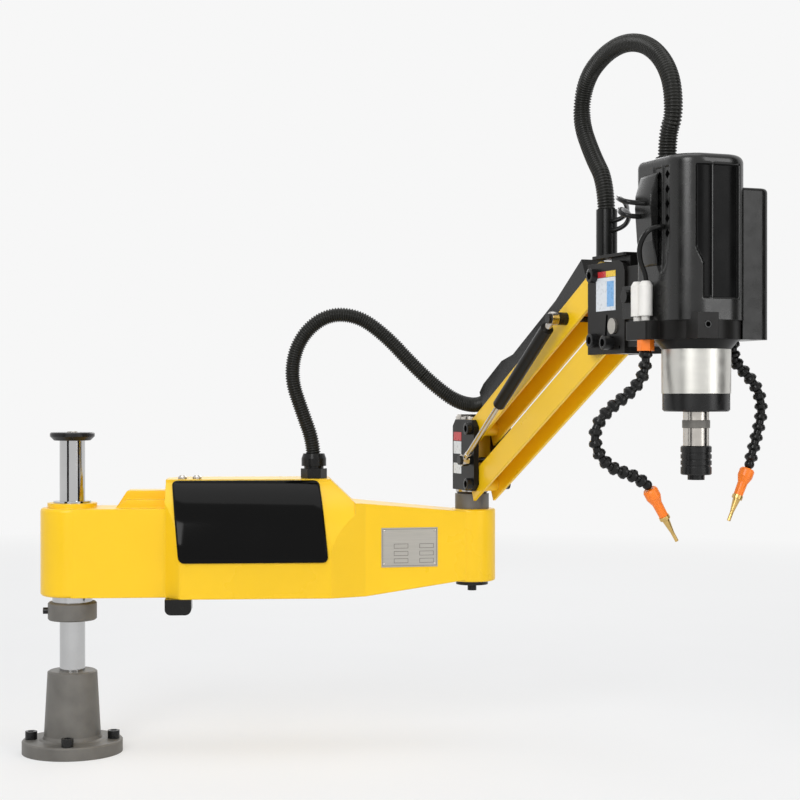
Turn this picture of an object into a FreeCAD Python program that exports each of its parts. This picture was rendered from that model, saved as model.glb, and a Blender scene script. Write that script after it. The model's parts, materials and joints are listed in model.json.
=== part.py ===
import FreeCAD, Part, Sketcher
import math
import os
from types import SimpleNamespace

# Arm tapping machine: column, swinging casting, elbow, parallel lift links and spindle head.
# Millimetres. Origin at the bottom of the base on the column axis, Z up, X along the casting.

doc = FreeCAD.newDocument("ArmTappingMachine")
sheet = doc.addObject("Spreadsheet::Sheet", "Sizes")

SIZES = (
    # general fits
    ("running_gap", 0.05, "radial clearance of a turning or sliding fit"),
    ("loose_gap", 0.3, "room between faces that pass each other"),
    ("overrun", 5, "how far a cutting tool runs past the face"),
    # base and column
    ("flange_radius", 75, "base flange"),
    ("flange_thick", 19.3, "base flange"),
    ("flange_edge", 2, "chamfer round the flange"),
    ("base_height", 123, "top of the base socket"),
    ("base_foot_radius", 42.3, "socket cone at its foot"),
    ("base_neck_radius", 36, "socket cone at its top"),
    ("base_foot_fillet", 7, "fillet between flange and cone"),
    ("base_floor", 10, "metal under the column"),
    ("column_radius", 19, "ground column"),
    ("column_top", 477, "upper end of the column"),
    ("cap_radius", 33.3, "cap on the column"),
    ("cap_bottom", 469, "underside of the cap"),
    ("cap_thick", 12, "cap on the column"),
    ("cap_chamfer", 6, "chamfer under the cap"),
    ("cap_screw_radius", 7.5, "head of the cap screw"),
    ("cap_screw_head", 1.6, "head height of the cap screw"),
    ("cap_screw_shank", 4, "shank radius of the cap screw"),
    ("cap_screw_length", 28, "shank length of the cap screw"),
    ("bolt_circle", 61.5, "radius of the flange screw circle"),
    ("bolt_radius", 6, "flange screw shank"),
    ("bolt_head_radius", 9, "flange screw head"),
    ("bolt_head_height", 12, "flange screw head"),
    ("bolt_socket_radius", 5.8, "hexagon socket, over the corners"),
    ("bolt_socket_depth", 6, "hexagon socket"),
    ("bolt_reach", 30, "screw length below the flange"),
    ("bolt_thread_radius", 5.5, "threaded end below the flange"),
    # height collar
    ("collar_bottom", 199, "underside of the height collar"),
    ("collar_height", 27, "height collar"),
    ("collar_radius", 36.5, "height collar"),
    ("collar_edge", 2, "chamfer of the collar"),
    ("set_screw_radius", 5, "collar locking screw"),
    ("set_screw_stand", 7, "how far the locking screw stands out"),
    ("thrust_radius", 30, "thrust ring over the collar"),
    # horizontal arm casting
    ("arm_bottom", 236, "underside of the casting"),
    ("arm_reach", 605.8, "column axis to elbow axis"),
    ("boss_radius", 47.2, "column boss"),
    ("boss_height", 132, "column boss"),
    ("boss_edge", 5, "rounding of the column boss"),
    ("boss_ring_radius", 37, "raised ring on the column boss"),
    ("boss_ring_height", 7, "raised ring on the column boss"),
    ("bush_radius", 25, "column bushes, outside"),
    ("bush_length", 34, "column bushes"),
    ("bush_flange_radius", 28, "flange of the upper bush"),
    ("bush_flange_height", 3, "flange of the upper bush"),
    ("slab_half", 47, "half depth of the slab by the column"),
    ("box_left", 141, "left end of the electric box"),
    ("box_corner_run", 24, "length of the slant from slab to box"),
    ("box_right", 388, "right end of the electric box"),
    ("box_half", 75, "half depth of the electric box"),
    ("box_height", 174, "electric box over the underside"),
    ("box_edge", 7, "rounding along the electric box"),
    ("housing_left", 66, "left end of the stepped housing"),
    ("housing_rise", 25, "stepped housing over the slab"),
    ("housing_step", 12, "lower step of the housing"),
    ("housing_slant", 16, "slanted left end of the housing"),
    ("shoulder_run", 36, "sloped shoulder right of the box"),
    ("shoulder_drop", 34, "drop of the sloped shoulder"),
    ("web_end_drop", 16, "fall of the web's top to the elbow"),
    ("web_end_rise", 23, "rise of the web's underside to the elbow"),
    ("web_straight", 52, "box to the crease of the web"),
    ("crease_half", 52, "half depth of the web at the crease"),
    ("web_end_half", 31, "half depth of the web at the elbow"),
    ("elbow_radius", 35.5, "elbow boss"),
    ("elbow_bottom", 254, "underside of the elbow boss"),
    ("elbow_height", 110, "elbow boss"),
    ("elbow_edge", 3, "rounding of the elbow boss"),
    # control cover and fittings of the casting
    ("cover_left", 150, "left end of the cover at its top"),
    ("cover_width", 221, "cover along the arm"),
    ("cover_shear", 13, "how far its side edges lean to the right"),
    ("cover_bottom", 289, "lower edge of the cover"),
    ("cover_thick", 5, "cover, through"),
    ("cover_setback", 55, "how far the top edge lies behind the front"),
    ("cover_bulge", 17, "how far the cover's curve stands proud of the chord"),
    ("inlet_width", 39, "power inlet block"),
    ("inlet_height", 23, "power inlet block"),
    ("inlet_depth", 34, "power inlet block"),
    ("inlet_offset", 2, "inlet block right of the box's left end"),
    ("inlet_round", 9, "rounded lower corners of the inlet block"),
    ("fitting_radius", 7, "vent fittings on the box"),
    ("fitting_height", 6, "vent fittings on the box"),
    ("fitting_pitch", 22, "spacing of the vent fittings"),
    ("plate_width", 86, "nameplate"),
    ("plate_height", 59, "nameplate"),
    ("plate_thick", 1, "nameplate"),
    ("plate_inset", 24, "nameplate from the crease"),
    ("plate_lift", 43, "nameplate over the underside"),
    # lower hose and its gland
    ("gland_place", 364, "gland along the arm"),
    ("gland_back", 15, "gland behind the arm's centre line"),
    ("gland_nut_radius", 20, "lower hexagon, over the corners"),
    ("gland_nut_height", 15, "lower hexagon"),
    ("gland_neck_radius", 15, "neck between the nuts"),
    ("gland_neck_height", 4, "neck between the nuts"),
    ("gland_dome_radius", 19, "dome nut"),
    ("gland_dome_height", 19, "dome nut"),
    ("hose_radius", 11.4, "ribbed hose over the ribs"),
    ("hose_valley", 9.8, "ribbed hose between the ribs"),
    ("hose_bore", 8, "bore radius of the hose"),
    ("rib_pitch", 11.4, "spacing of the ribs"),
    # elbow and knuckle
    ("pivot_radius", 20, "elbow pivot"),
    ("sleeve_radius", 25.9, "grey sleeve over the elbow"),
    ("sleeve_height", 23, "grey sleeve"),
    ("washer_radius", 25, "bright ring over the sleeve"),
    ("washer_height", 6.6, "bright ring"),
    ("retainer_radius", 24.5, "disc under the elbow"),
    ("retainer_height", 6, "disc under the elbow"),
    ("elbow_bolt_radius", 6.85, "bolt head under the elbow"),
    ("elbow_bolt_head", 9.5, "bolt head under the elbow"),
    ("elbow_bolt_shank", 4, "shank radius"),
    ("elbow_bolt_length", 26, "shank length"),
    ("knuckle_height", 106.4, "knuckle plates"),
    ("knuckle_back", 24, "block behind the elbow axis"),
    ("knuckle_plate_back", 12, "plates behind the elbow axis"),
    ("knuckle_front", 68, "plates in front of the elbow axis"),
    ("knuckle_corner", 10, "slanted corners of the plates"),
    ("side_plate", 8, "thickness of the knuckle and head plates"),
    ("plate_room", 1, "gap between link and side plate"),
    ("pin_reach", 56, "elbow axis to the lower pins"),
    ("lower_pin_height", 404.15, "lower link pin"),
    ("pin_rise", 82.72, "upper pin over the lower pin"),
    ("pin_radius", 6, "link pins"),
    ("pin_head_radius", 9, "heads of the link pins"),
    ("pin_head_height", 8, "heads of the link pins"),
    ("knuckle_cap_radius", 25, "ring over the knuckle"),
    ("knuckle_cap_height", 8, "ring over the knuckle"),
    # lift links
    ("link_length", 442.5, "between the pins of a link"),
    ("link_width", 36, "channel across"),
    ("link_depth", 38, "channel flanges"),
    ("link_wall", 4, "channel wall"),
    ("link_heel", 20, "channel beyond its lower pin"),
    ("link_hub_radius", 11, "bush of a link"),
    ("duct_width", 33, "cable duct on the upper link"),
    ("duct_start", 33, "lower end of the duct along the link"),
    ("duct_end_gap", 38.5, "upper end of the duct before the head pin"),
    ("duct_high", 30, "height of the duct at its raised ends"),
    ("duct_low", 20, "height of the duct between"),
    ("duct_nose", 18, "slanted lower end"),
    ("duct_lower_rise", 90, "length of the raised lower end"),
    ("duct_slope", 38, "slope from raised end to low stretch"),
    ("duct_upper_rise", 90, "length of the rising upper end"),
    # gas spring
    ("spring_foot_reach", 55, "elbow axis to the spring's lower eye"),
    ("spring_foot_drop", 46.9, "lower eye below the upper pin"),
    ("spring_head_along", 332, "upper eye along the upper link"),
    ("spring_side", 37, "spring axis from the centre plane"),
    ("spring_tube_radius", 9, "gas spring tube"),
    ("spring_bore_radius", 7.95, "gas spring tube, inside"),
    ("spring_tube_length", 185, "gas spring tube"),
    ("spring_tube_start", 22, "upper eye to the tube"),
    ("spring_rod_radius", 4, "gas spring rod"),
    ("spring_rod_length", 185, "gas spring rod beyond its eye"),
    ("spring_eye_radius", 9, "end fittings"),
    ("spring_eye_width", 10, "end fittings"),
    ("spring_neck_radius", 6, "neck of an end fitting"),
    ("spring_pin_radius", 4, "studs of the spring"),
    ("spacer_radius", 8.5, "spacers on the studs"),
    # head: plates and block
    ("head_back", 19, "head plates behind the pins"),
    ("head_front", 78, "head plates in front of the pins"),
    ("head_above", 15.3, "head plates over the upper pin"),
    ("head_below", 18, "head plates below the lower pin"),
    ("head_round", 14, "rounded corner of the head plates"),
    ("link_end_room", 30, "room for a link's end in front of its pin"),
    ("top_plate_rise", 21, "top plate over the upper pin"),
    ("top_plate_thick", 4, "top plate of the head"),
    ("top_plate_back", 10, "top plate behind the pins"),
    ("third_bolt_ahead", 43, "third bolt in front of the pins"),
    ("third_bolt_drop", 86.7, "third bolt below the upper pin"),
    ("third_bolt_stand", 12, "third bolt stands out"),
    ("disc_ahead", 49.4, "tilt disc in front of the pins"),
    ("disc_drop", 66, "tilt disc below the upper pin"),
    ("disc_radius", 10, "tilt disc"),
    ("disc_height", 3, "tilt disc"),
    # head: bracket and motor
    ("spindle_ahead", 201.7, "spindle axis in front of the pins"),
    ("spindle_base", 87.7, "clamp ring's underside below the upper pin"),
    ("bracket_half", 24, "half width of the bracket"),
    ("bracket_above", 7, "bracket over the upper pin"),
    ("ring_radius", 52, "clamp ring"),
    ("ring_height", 22, "clamp ring"),
    ("lug_outer", 68, "side lug from the spindle axis"),
    ("lug_back", 50, "side lug behind the spindle axis"),
    ("lug_front", 4, "side lug in front of the spindle axis"),
    ("clamp_half", 14, "half width of the clamp block"),
    ("clamp_side", 22, "clamp block left of the spindle axis"),
    ("clamp_out", 62, "clamp block from the spindle axis"),
    ("clamp_height", 30, "clamp block"),
    ("motor_half", 48.5, "half width of the motor cover"),
    ("motor_back", 61, "motor cover behind the spindle axis"),
    ("motor_front", 49, "motor cover in front of the spindle axis"),
    ("motor_top", 214, "motor cover over the ring's underside"),
    ("motor_front_round", 34, "front corners of the motor cover"),
    ("motor_back_round", 12, "back corners of the motor cover"),
    ("motor_edge", 5, "rounded top of the motor cover"),
    ("recess_depth", 5, "front recess of the motor cover"),
    ("recess_left", 22, "recess left of the spindle axis"),
    ("recess_right", 27, "recess right of the spindle axis"),
    ("recess_bottom", 60, "recess over the ring's underside"),
    ("recess_sweep", 34, "slant of the recess at its lower left"),
    ("recess_top_wall", 30, "cover left over the recess"),
    ("recess_rib_half", 1.6, "half width of the rib in the recess"),
    ("vent_half", 4.2, "half diagonal of a vent"),
    ("vent_pitch", 19.4, "spacing of the vents"),
    ("vent_column", 18, "spacing of the two columns of vents"),
    ("vent_back", 3, "first column behind the spindle axis"),
    ("vent_depth", 4, "vents"),
    ("vent_top", 23, "uppermost vent below the cover's top"),
    ("side_case_gap", 6.5, "side case overlaps the cover's side by this"),
    ("side_case_outer", 82, "side case from the spindle axis"),
    ("side_case_back", 41, "side case behind the spindle axis"),
    ("side_case_front", 34, "side case in front of the spindle axis"),
    ("side_case_height", 178, "side case"),
    ("side_case_round", 14, "rounded outer edges of the side case"),
    ("bulge_out", 11, "cable housing left of the motor cover"),
    ("bulge_back", 40, "cable housing behind the spindle axis"),
    ("bulge_front", 4, "cable housing behind the spindle axis, front end"),
    ("bulge_low", 86, "cable housing over the ring's underside"),
    ("bulge_high", 196, "top of the cable housing over the ring's underside"),
    ("motor_port_radius", 14, "port of the upper hose"),
    ("motor_port_height", 5, "port of the upper hose"),
    ("motor_port_back", 41, "port behind the spindle axis"),
    ("motor_port_side", 15, "port left of the spindle axis"),
    # spindle housing and spindle
    ("cone_height", 11, "cone under the clamp ring"),
    ("cone_radius", 49.5, "cone under the clamp ring"),
    ("gear_radius", 40.5, "silver gear housing"),
    ("gear_height", 52, "silver gear housing"),
    ("bearing_radius", 39.5, "black bearing ring"),
    ("bearing_height", 21, "black bearing ring"),
    ("journal_radius", 11, "spindle inside its housing"),
    ("journal_length", 60, "spindle inside its housing"),
    ("shank_radius", 15.3, "spindle shank"),
    ("shank_length", 40, "spindle shank"),
    ("shank_ring_drop", 10, "grey ring below the shank's top"),
    ("shank_ring_height", 9, "grey ring"),
    ("shank_groove", 1, "depth of the ring's seat"),
    ("chuck_radius", 18.2, "quick-change chuck"),
    ("chuck_height", 34, "quick-change chuck"),
    ("chuck_groove_height", 2.4, "grip grooves"),
    ("chuck_groove_depth", 1.2, "grip grooves"),
    ("chuck_groove_pitch", 7.5, "grip grooves"),
    ("nose_radius", 10, "nose of the chuck"),
    ("nose_height", 6, "nose of the chuck"),
    ("tap_bore", 5.5, "bore for the tap adapter"),
    ("tap_bore_depth", 28, "bore for the tap adapter"),
    # air and coolant fittings
    ("coupling_back", 15, "couplings behind the spindle axis"),
    ("coupling_side", 59, "couplings left of the spindle axis"),
    ("coupling_pitch", 19, "between the two couplings"),
    ("coupling_radius", 8, "white coupling"),
    ("coupling_height", 41, "white coupling"),
    ("coupling_neck", 5, "neck radius of a coupling"),
    ("coupling_neck_height", 6, "neck of a coupling"),
    ("nut_radius", 10, "orange hose nut, over the corners"),
    ("nut_height", 13, "orange hose nut"),
    ("valve_width", 34, "valve block"),
    ("valve_depth", 17, "valve block"),
    ("valve_height", 40, "valve block"),
    ("valve_ahead", 98, "valve block in front of the pins"),
    ("valve_drop", 60, "valve block below the upper pin"),
    ("knob_radius", 8, "knob of the valve"),
    ("knob_height", 8, "knob of the valve"),
    ("link_skirt", 8, "coolant link, wide end"),
    ("link_neck", 4.8, "coolant link, narrow end"),
    ("link_ball", 6, "ball at the end of the last coolant link"),
    ("link_sunk", 0.8, "how far a coolant link's neck enters the next link"),
    ("link_pitch", 12.6, "coolant link"),
    ("coolant_right_back", 15, "right coolant hose behind the spindle axis"),
    ("coolant_right_side", 60, "right coolant hose from the spindle axis"),
    ("connector_radius", 9, "orange connector"),
    ("nozzle_radius", 4.6, "brass nozzle"),
    ("nozzle_tip_radius", 2.2, "tip of the brass nozzle"),
    ("nozzle_bore", 1.2, "bore of the nozzle and the coolant links"),
    # hose boot and thin tubes
    ("boot_ahead", 4, "hose boot in front of the pins"),
    ("boot_side", 12, "hose boot left of the centre plane"),
    ("boot_radius", 13.5, "hose boot"),
    ("boot_height", 60, "hose boot"),
    ("boot_socket", 20, "depth of the hose in the boot"),
    ("air_tube_radius", 3, "thin air tubes"),
)

# shares of a size, without a unit
half_share = 0.5
bend_share = 0.45
corner_share = 0.3
dome_side_share = 0.6
dome_top_share = 0.85
cap_top_share = 0.9
duct_lip_share = 0.85
nut_share = 1.7
neck_share = 0.8
knob_share = 0.68
rib_shares = (0.15, 0.35, 0.65, 0.85)
link_rim_share = 0.8
link_rise_share = 0.22
link_wide_share = 0.45
link_taper_share = 0.68
connector_rim_share = 0.85
connector_shares = (0.2, 0.4, 0.6)
connector_reach_share = 0.55
connector_neck_shares = (1.3, 1.2)
nozzle_collar_share = 1.4
nozzle_taper_share = 0.85
nozzle_bore_share = 0.8
lift_degrees = 27.277
elbow_degrees = -72.568


class Size:
    """A length that carries its value and the expression that drives it."""

    def __init__(self, value, text):
        self.value = value
        self.text = text

    def __add__(self, other):
        other = as_size(other)
        return Size(self.value + other.value, "(" + self.text + " + " + other.text + ")")

    def __sub__(self, other):
        other = as_size(other)
        return Size(self.value - other.value, "(" + self.text + " - " + other.text + ")")

    def __mul__(self, share):
        return Size(self.value * share, self.text + " * " + repr(share))

    def __neg__(self):
        return Size(-self.value, "(0 - " + self.text + ")")

    def __radd__(self, other):
        return as_size(other) + self

    __rmul__ = __mul__


def as_size(thing):
    if isinstance(thing, Size):
        return thing
    return Size(float(thing), repr(float(thing)))


nothing = as_size(0)

for row, (alias, value, note) in enumerate(SIZES, start=1):
    sheet.set("A" + str(row), alias)
    sheet.set("B" + str(row), str(value))
    sheet.set("C" + str(row), note)
    sheet.setAlias("B" + str(row), alias)
doc.recompute()
s = SimpleNamespace(**{alias: Size(float(getattr(sheet, alias)), "Sizes." + alias)
                       for alias, value, note in SIZES})

X_AXIS = FreeCAD.Vector(1, 0, 0)
Y_AXIS = FreeCAD.Vector(0, 1, 0)
Z_AXIS = FreeCAD.Vector(0, 0, 1)
TURNS = {
    "x": FreeCAD.Rotation(Y_AXIS, 90),
    "y": FreeCAD.Rotation(X_AXIS, -90),
    "z": FreeCAD.Rotation(),
}
parts = []


def drive(thing, name, length):
    """Bind a property to the sheet, or set it where it is a plain zero."""
    length = as_size(length)
    if "Sizes." in length.text:
        thing.setExpression(name, length.text)
    elif "." not in name:
        setattr(thing, name, length.value)


def put(thing, at):
    for axis, length in zip("xyz", at):
        drive(thing, "Placement.Base." + axis, length)
    return thing


def box(name, low, high):
    """A block between two corners."""
    block = doc.addObject("Part::Box", name)
    drive(block, "Length", as_size(high[0]) - low[0])
    drive(block, "Width", as_size(high[1]) - low[1])
    drive(block, "Height", as_size(high[2]) - low[2])
    return put(block, low)


def rod(name, radius, length, at, along="z"):
    """A round bar from a point along an axis."""
    bar = doc.addObject("Part::Cylinder", name)
    drive(bar, "Radius", radius)
    drive(bar, "Height", length)
    bar.Placement.Rotation = TURNS[along]
    return put(bar, at)


def hexagon(name, radius, height, at, along="z"):
    prism = doc.addObject("Part::Prism", name)
    prism.Polygon = 6
    drive(prism, "Circumradius", radius)
    drive(prism, "Height", height)
    prism.Placement.Rotation = TURNS[along]
    return put(prism, at)


def cut(name, base, *tools):
    result = doc.addObject("Part::Cut", name)
    result.Base = base
    result.Tool = tools[0] if len(tools) == 1 else fuse(name + "Tools", *tools)
    return result


def fuse(name, *shapes):
    result = doc.addObject("Part::MultiFuse", name)
    result.Shapes = list(shapes)
    return result


def group(name, *shapes):
    """Separate pieces that share one sub-part."""
    result = doc.addObject("Part::Compound", name)
    result.Links = list(shapes)
    return result


def common(name, *shapes):
    result = doc.addObject("Part::MultiCommon", name)
    result.Shapes = list(shapes)
    return result


def outline(body, points, plane, start):
    """A closed sketch on one of the body's own planes, each corner driven by the sheet."""
    sketch = body.newObject("Sketcher::SketchObject", body.Name + "Sketch")
    support = [face for face in body.Origin.OriginFeatures if face.Role == plane + "_Plane"][0]
    sketch.AttachmentSupport = (support, [""])
    sketch.MapMode = "FlatFace"
    drive(sketch, "AttachmentOffset.Base.z", start)
    corners = [(as_size(x), as_size(y)) for x, y in points]
    count = len(corners)
    for index, (x, y) in enumerate(corners):
        following = corners[(index + 1) % count]
        first = FreeCAD.Vector(x.value, y.value, 0)
        second = FreeCAD.Vector(following[0].value, following[1].value, 0)
        sketch.addGeometry(Part.LineSegment(first, second))
    for index in range(count):
        sketch.addConstraint(Sketcher.Constraint("Coincident", index, 2, (index + 1) % count, 1))
    for index, corner in enumerate(corners):
        for kind, length, axis in zip(("DistanceX", "DistanceY"), corner, (-2, -1)):
            if "Sizes." in length.text:
                number = sketch.addConstraint(Sketcher.Constraint(kind, -1, 1, index, 1, length.value))
                sketch.setExpression("Constraints[" + str(number) + "]", length.text)
            else:
                sketch.addConstraint(Sketcher.Constraint("PointOnObject", index, 1, axis))
    return sketch


def pad(name, points, plane, low, high):
    """A closed outline padded between two levels; on the XZ plane the levels run along Y."""
    body = doc.addObject("PartDesign::Body", name)
    low = as_size(low)
    high = as_size(high)
    start = -high if plane == "XZ" else low
    sketch = outline(body, points, plane, start)
    feature = body.newObject("PartDesign::Pad", name + "Pad")
    feature.Profile = sketch
    drive(feature, "Length", high - low)
    return body


def turned(name, points, at=(0, 0, 0), along="z"):
    """A closed outline of radii and heights turned about its own axis."""
    body = doc.addObject("PartDesign::Body", name)
    sketch = outline(body, points, "XZ", nothing)
    feature = body.newObject("PartDesign::Revolution", name + "Turn")
    feature.Profile = sketch
    feature.ReferenceAxis = (sketch, ["V_Axis"])
    feature.Angle = 360
    body.Placement.Rotation = TURNS[along]
    return put(body, at)


def runs_along(axis):
    """Picks straight edges parallel to an axis."""
    def pick(edge):
        if edge.Curve.TypeId != "Part::GeomLine":
            return False
        return abs(edge.tangentAt(edge.FirstParameter).dot(axis)) > 0.999
    return pick


def rounded(name, base, radius, pick):
    """Fillets of one radius on every edge that the test picks."""
    doc.recompute()
    result = doc.addObject("Part::Fillet", name)
    result.Base = base
    numbers = [number for number, edge in enumerate(base.Shape.Edges, start=1) if pick(edge)]
    result.Edges = [(number, radius.value, radius.value) for number in numbers]
    return result


def part(label, thing, frame=FreeCAD.Placement()):
    """Name a finished sub-part and seat it in its frame."""
    if thing.TypeId in ("Part::Box", "Part::Cylinder", "Part::Prism", "PartDesign::Body", "Part::Fillet"):
        holder = doc.addObject("Part::Compound", label)
        holder.Links = [thing]
        thing = holder
    thing.Label = label
    thing.Placement = frame
    parts.append(thing)
    return thing


def made(label, shape, frame=FreeCAD.Placement()):
    """A sub-part whose shape is worked out with Part's own functions."""
    thing = doc.addObject("Part::Feature", label)
    thing.Shape = shape
    return part(label, thing, frame)


# Frames: the knuckle and head stand square to the elbow, the links lean by the lift angle.
lift = math.radians(lift_degrees)
upper_pin_height = s.lower_pin_height + s.pin_rise
link_run = s.link_length.value * math.cos(lift)
link_climb = s.link_length.value * math.sin(lift)
lean = FreeCAD.Rotation(Y_AXIS, -lift_degrees)
knuckle = FreeCAD.Placement(FreeCAD.Vector(s.arm_reach.value, 0, 0), FreeCAD.Rotation(Z_AXIS, elbow_degrees))
upper_pin_place = FreeCAD.Vector(s.pin_reach.value, 0, upper_pin_height.value)
lower_pin_place = FreeCAD.Vector(s.pin_reach.value, 0, s.lower_pin_height.value)
upper_link = knuckle * FreeCAD.Placement(upper_pin_place, lean)
lower_link = knuckle * FreeCAD.Placement(lower_pin_place, lean)
head_pin_place = upper_pin_place + FreeCAD.Vector(link_run, 0, link_climb)
head = knuckle * FreeCAD.Placement(head_pin_place, FreeCAD.Rotation())
spindle_pin_place = head_pin_place + FreeCAD.Vector(s.spindle_ahead.value, 0, -s.spindle_base.value)
spindle = knuckle * FreeCAD.Placement(spindle_pin_place, FreeCAD.Rotation())

# Routes of hoses and tubes

def rounded_route(points):
    """Straight runs joined by tangent arcs, as edges; also the tightest radius."""
    corners = [FreeCAD.Vector(*point) for point in points]
    edges = []
    tightest = None
    start = corners[0]
    for index in range(1, len(corners) - 1):
        before = corners[index - 1] - corners[index]
        after = corners[index + 1] - corners[index]
        turn = math.pi - before.getAngle(after)
        trim = bend_share * min(before.Length, after.Length)
        radius = trim / math.tan(turn * half_share)
        tightest = radius if tightest is None else min(tightest, radius)
        before.normalize()
        after.normalize()
        enter = corners[index] + before * trim
        leave = corners[index] + after * trim
        inward = (before + after).normalize()
        middle = corners[index] + inward * (radius / math.cos(turn * half_share) - radius)
        edges.append(Part.makeLine(start, enter))
        edges.append(Part.Arc(enter, middle, leave).toShape())
        start = leave
    edges.append(Part.makeLine(start, corners[-1]))
    return edges, tightest


def places_along(edges, spots):
    """Points and directions at distances along a route."""
    found = []
    for spot in spots:
        left = spot
        for edge in edges:
            if left <= edge.Length or edge is edges[-1]:
                number = edge.getParameterByLength(min(left, edge.Length))
                found.append((edge.valueAt(number), edge.tangentAt(number)))
                break
            left -= edge.Length
    return found


def ring_at(place, direction, radius, steady):
    """A circle square to a direction, its seam kept on a steady X axis."""
    across = (steady - direction * steady.dot(direction)).normalize()
    up = direction.cross(across)
    turn = FreeCAD.Rotation(across, up, direction, "ZXY")
    circle = Part.makeCircle(radius)
    circle.Placement = FreeCAD.Placement(place, turn)
    return Part.Wire(circle)


def swept(edges, radius):
    """A round bar along a route."""
    start = edges[0]
    direction = start.tangentAt(start.FirstParameter)
    steady = X_AXIS if direction.dot(X_AXIS) == 0 else Y_AXIS
    ring = ring_at(start.valueAt(start.FirstParameter), direction, radius, steady)
    return Part.Wire(edges).makePipeShell([ring], True, False)


def report_route(name, edges, tightest, shape, radius):
    length = sum(edge.Length for edge in edges)
    section = math.pi * radius * radius
    print(name, "length", round(length, 1), "tightest radius", round(tightest, 1),
          "volume over section x length", round(shape.Volume / (section * length), 3))


def ribbed_hose(name, points, steady):
    """A corrugated hose: ribs as a ruled loft through four circles each, and a bore."""
    edges, tightest = rounded_route(points)
    length = sum(edge.Length for edge in edges)
    ribs = int(length / s.rib_pitch.value)
    pitch = length / ribs
    outer = s.hose_radius.value
    valley = s.hose_valley.value
    spots = [0.0]
    radii = [valley]
    for rib in range(ribs):
        for share, radius in zip(rib_shares, (valley, outer, outer, valley)):
            spots.append((rib + share) * pitch)
            radii.append(radius)
    spots.append(length)
    radii.append(valley)
    rings = [ring_at(place, direction, radius, steady)
             for (place, direction), radius in zip(places_along(edges, spots), radii)]
    hose = Part.makeLoft(rings, True, True)
    report_route(name, edges, tightest, hose, math.sqrt((outer * outer + valley * valley) * half_share))
    return hose.cut(swept(edges, s.hose_bore.value))


def thin_tube(name, points):
    edges, tightest = rounded_route(points)
    tube = swept(edges, s.air_tube_radius.value)
    report_route(name, edges, tightest, tube, s.air_tube_radius.value)
    return tube


# Base: a turned casting screwed down through its flange

def build_base():
    foot = s.flange_thick + s.base_foot_fillet
    foot_corner = s.base_foot_fillet * corner_share
    casting = turned("BaseTurned", (
        (nothing, nothing),
        (s.flange_radius, nothing),
        (s.flange_radius, s.flange_thick - s.flange_edge),
        (s.flange_radius - s.flange_edge, s.flange_thick),
        (s.base_foot_radius + s.base_foot_fillet, s.flange_thick),
        (s.base_foot_radius + foot_corner, s.flange_thick + foot_corner),
        (s.base_foot_radius, foot),
        (s.base_neck_radius + s.flange_edge * half_share, s.base_height - s.flange_edge),
        (s.base_neck_radius - s.flange_edge, s.base_height),
        (s.column_radius, s.base_height),
        (s.column_radius, s.base_floor),
        (nothing, s.base_floor),
    ))
    holes = []
    screws = []
    for number, (x, y) in enumerate(((1, 0), (0, 1), (-1, 0), (0, -1))):
        place = (s.bolt_circle * x, s.bolt_circle * y)
        hole_low = (*place, -s.overrun)
        holes.append(rod("FlangeHole" + str(number), s.bolt_radius, s.flange_thick + s.overrun * 2, hole_low))
        shank = rod("FlangeScrewShank" + str(number), s.bolt_radius, s.flange_thick, (*place, nothing))
        thread = rod("FlangeScrewThread" + str(number), s.bolt_thread_radius, s.bolt_reach,
                     (*place, -s.bolt_reach))
        top = rod("FlangeScrewHead" + str(number), s.bolt_head_radius, s.bolt_head_height,
                  (*place, s.flange_thick))
        socket_floor = s.flange_thick + s.bolt_head_height - s.bolt_socket_depth
        socket = hexagon("FlangeScrewSocket" + str(number), s.bolt_socket_radius,
                         s.bolt_socket_depth + s.overrun, (*place, socket_floor))
        blank = fuse("FlangeScrewBlank" + str(number), shank, thread, top)
        screws.append(cut("FlangeScrew" + str(number), blank, socket))
    part("base_casting", cut("BaseCasting", casting, *holes))
    part("base_screws", group("BaseScrews", *screws))


def build_column():
    shank_low = s.cap_bottom + s.cap_thick - s.cap_screw_length
    bar = rod("ColumnBar", s.column_radius, s.column_top - s.base_floor, (0, 0, s.base_floor))
    bar_hole = rod("ColumnScrewHole", s.cap_screw_shank, s.cap_screw_length, (0, 0, shank_low))
    part("column", cut("ColumnDrilled", bar, bar_hole))
    cap_top = s.cap_bottom + s.cap_thick
    cap = turned("CapTurned", (
        (s.column_radius, s.cap_bottom),
        (s.cap_radius - s.cap_chamfer, s.cap_bottom),
        (s.cap_radius, s.cap_bottom + s.cap_chamfer),
        (s.cap_radius, cap_top - s.cap_screw_head),
        (s.cap_radius - s.cap_screw_head, cap_top),
        (s.cap_screw_shank, cap_top),
        (s.cap_screw_shank, s.column_top),
        (s.column_radius, s.column_top),
    ))
    part("column_cap", cap)
    screw = turned("CapScrewTurned", (
        (nothing, shank_low),
        (s.cap_screw_shank, shank_low),
        (s.cap_screw_shank, cap_top),
        (s.cap_screw_radius, cap_top),
        (s.cap_screw_radius, cap_top + s.cap_screw_head),
        (nothing, cap_top + s.cap_screw_head),
    ))
    part("column_cap_screw", screw)


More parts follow.
